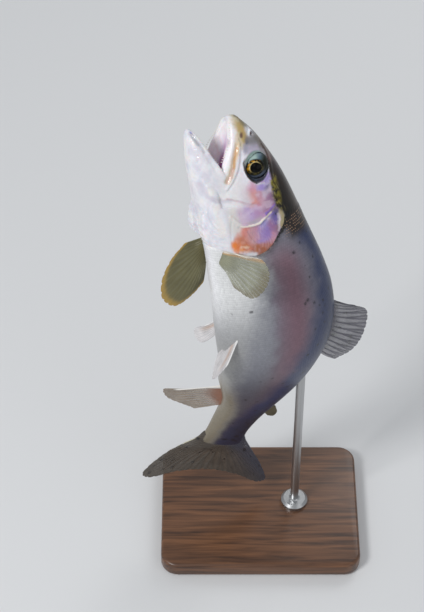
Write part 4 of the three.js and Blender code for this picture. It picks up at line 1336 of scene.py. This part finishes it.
def bevelEdges(piece, upright, offset, segments):
    # rounds either the upright edges or the level ones
    editMesh(
        piece,
        lambda: bpy.ops.mesh.select_mode(type="EDGE"),
        lambda: bpy.ops.mesh.select_all(action="DESELECT"),
    )
    for edge in piece.data.edges:
        a, b = (piece.data.vertices[i].co.z for i in edge.vertices)
        edge.select = abs(a - b) > 0.001 if upright else abs(a - b) < 1e-6
    bpy.ops.object.mode_set(mode="EDIT")
    bpy.ops.mesh.bevel(offset=offset, segments=segments, affect="EDGES")
    bpy.ops.object.mode_set(mode="OBJECT")


def makeBase():
    bpy.ops.mesh.primitive_cube_add(size=1)
    piece = justMade("stand_base_look")
    size = (stand["length"], stand["width"], stand["height"])
    setPoints(piece, pointsOf(piece) * size + (0, 0, stand["height"] / 2))
    bevelEdges(piece, True, stand["corner"], 10)
    bevelEdges(piece, False, stand["edge"], 4)
    editMesh(piece, outward)
    smoothShade(piece, 35)
    finishPiece(piece, woodMaterial(), "base_wood", "stand_base")


def makeRod():
    low, foot, rod = stand["height"], stand["footRadius"], stand["rodRadius"]
    shoulder = low + stand["footHeight"]
    profile = [
        (0, 0, low), (foot, 0, low), (foot, 0, low + 0.003), (foot - stand["footSlope"], 0, shoulder),
        (rod + 0.001, 0, shoulder), (rod, 0, low + 0.0062), (rod, 0, stand["rodTop"]),
        (0, 0, stand["rodTop"]),
    ]
    piece = newPiece("stand_rod_look", profile, [(i, i + 1) for i in range(len(profile) - 1)], [])
    editMesh(
        piece,
        lambda: bpy.ops.mesh.spin(steps=40, angle=2 * math.pi, center=(0, 0, 0), axis=(0, 0, 1)),
        lambda: bpy.ops.mesh.select_all(action="SELECT"),
        lambda: bpy.ops.mesh.remove_doubles(threshold=1e-6),
        outward,
    )
    setPoints(piece, pointsOf(piece) + (stand["rodX"], stand["rodY"], 0))
    smoothShade(piece, 30)
    finishPiece(piece, steelMaterial(), "rod_steel", "stand_rod")


makeBase()
makeRod()
print("stand done")

studio = {
    "floor": 60.0, "floorTone": "DDDEDF", "floorGloss": 0.7, "sky": 0.44, "skyTone": (0.93, 0.96, 1.0, 1),
    "aim": (0, 0, 0.25),
    "lamps": {  # place, size, watts
        "keyLight": ((-1.1, -0.9, 1.6), 0.5, 21), "fillLight": ((1.2, -1.3, 0.9), 1.2, 2.5),
        "rimLight": ((0.7, 1.2, 1.2), 0.8, 6),
    },
}


def makeStudio():
    bpy.ops.mesh.primitive_plane_add(size=studio["floor"])
    floor = justMade("floor")
    pale = {"Base Color": (*colour(studio["floorTone"]), 1), "Roughness": studio["floorGloss"]}
    floor.data.materials.append(newMaterial("paleFloor", pale)[0])
    world = bpy.data.worlds.new("softRoom")
    world.use_nodes = True
    setInputs(world.node_tree.nodes["Background"], {"Color": studio["skyTone"], "Strength": studio["sky"]})
    bpy.context.scene.world = world
    for name, (place, size, power) in studio["lamps"].items():
        aim = (Vector(studio["aim"]) - Vector(place)).to_track_quat("-Z", "Y").to_euler()
        bpy.ops.object.light_add(type="AREA", location=place, rotation=aim)
        lamp = justMade(name)
        lamp.data.size = size
        lamp.data.energy = power
    bpy.context.scene.view_settings.view_transform = "Standard"


makeStudio()
print("studio done")
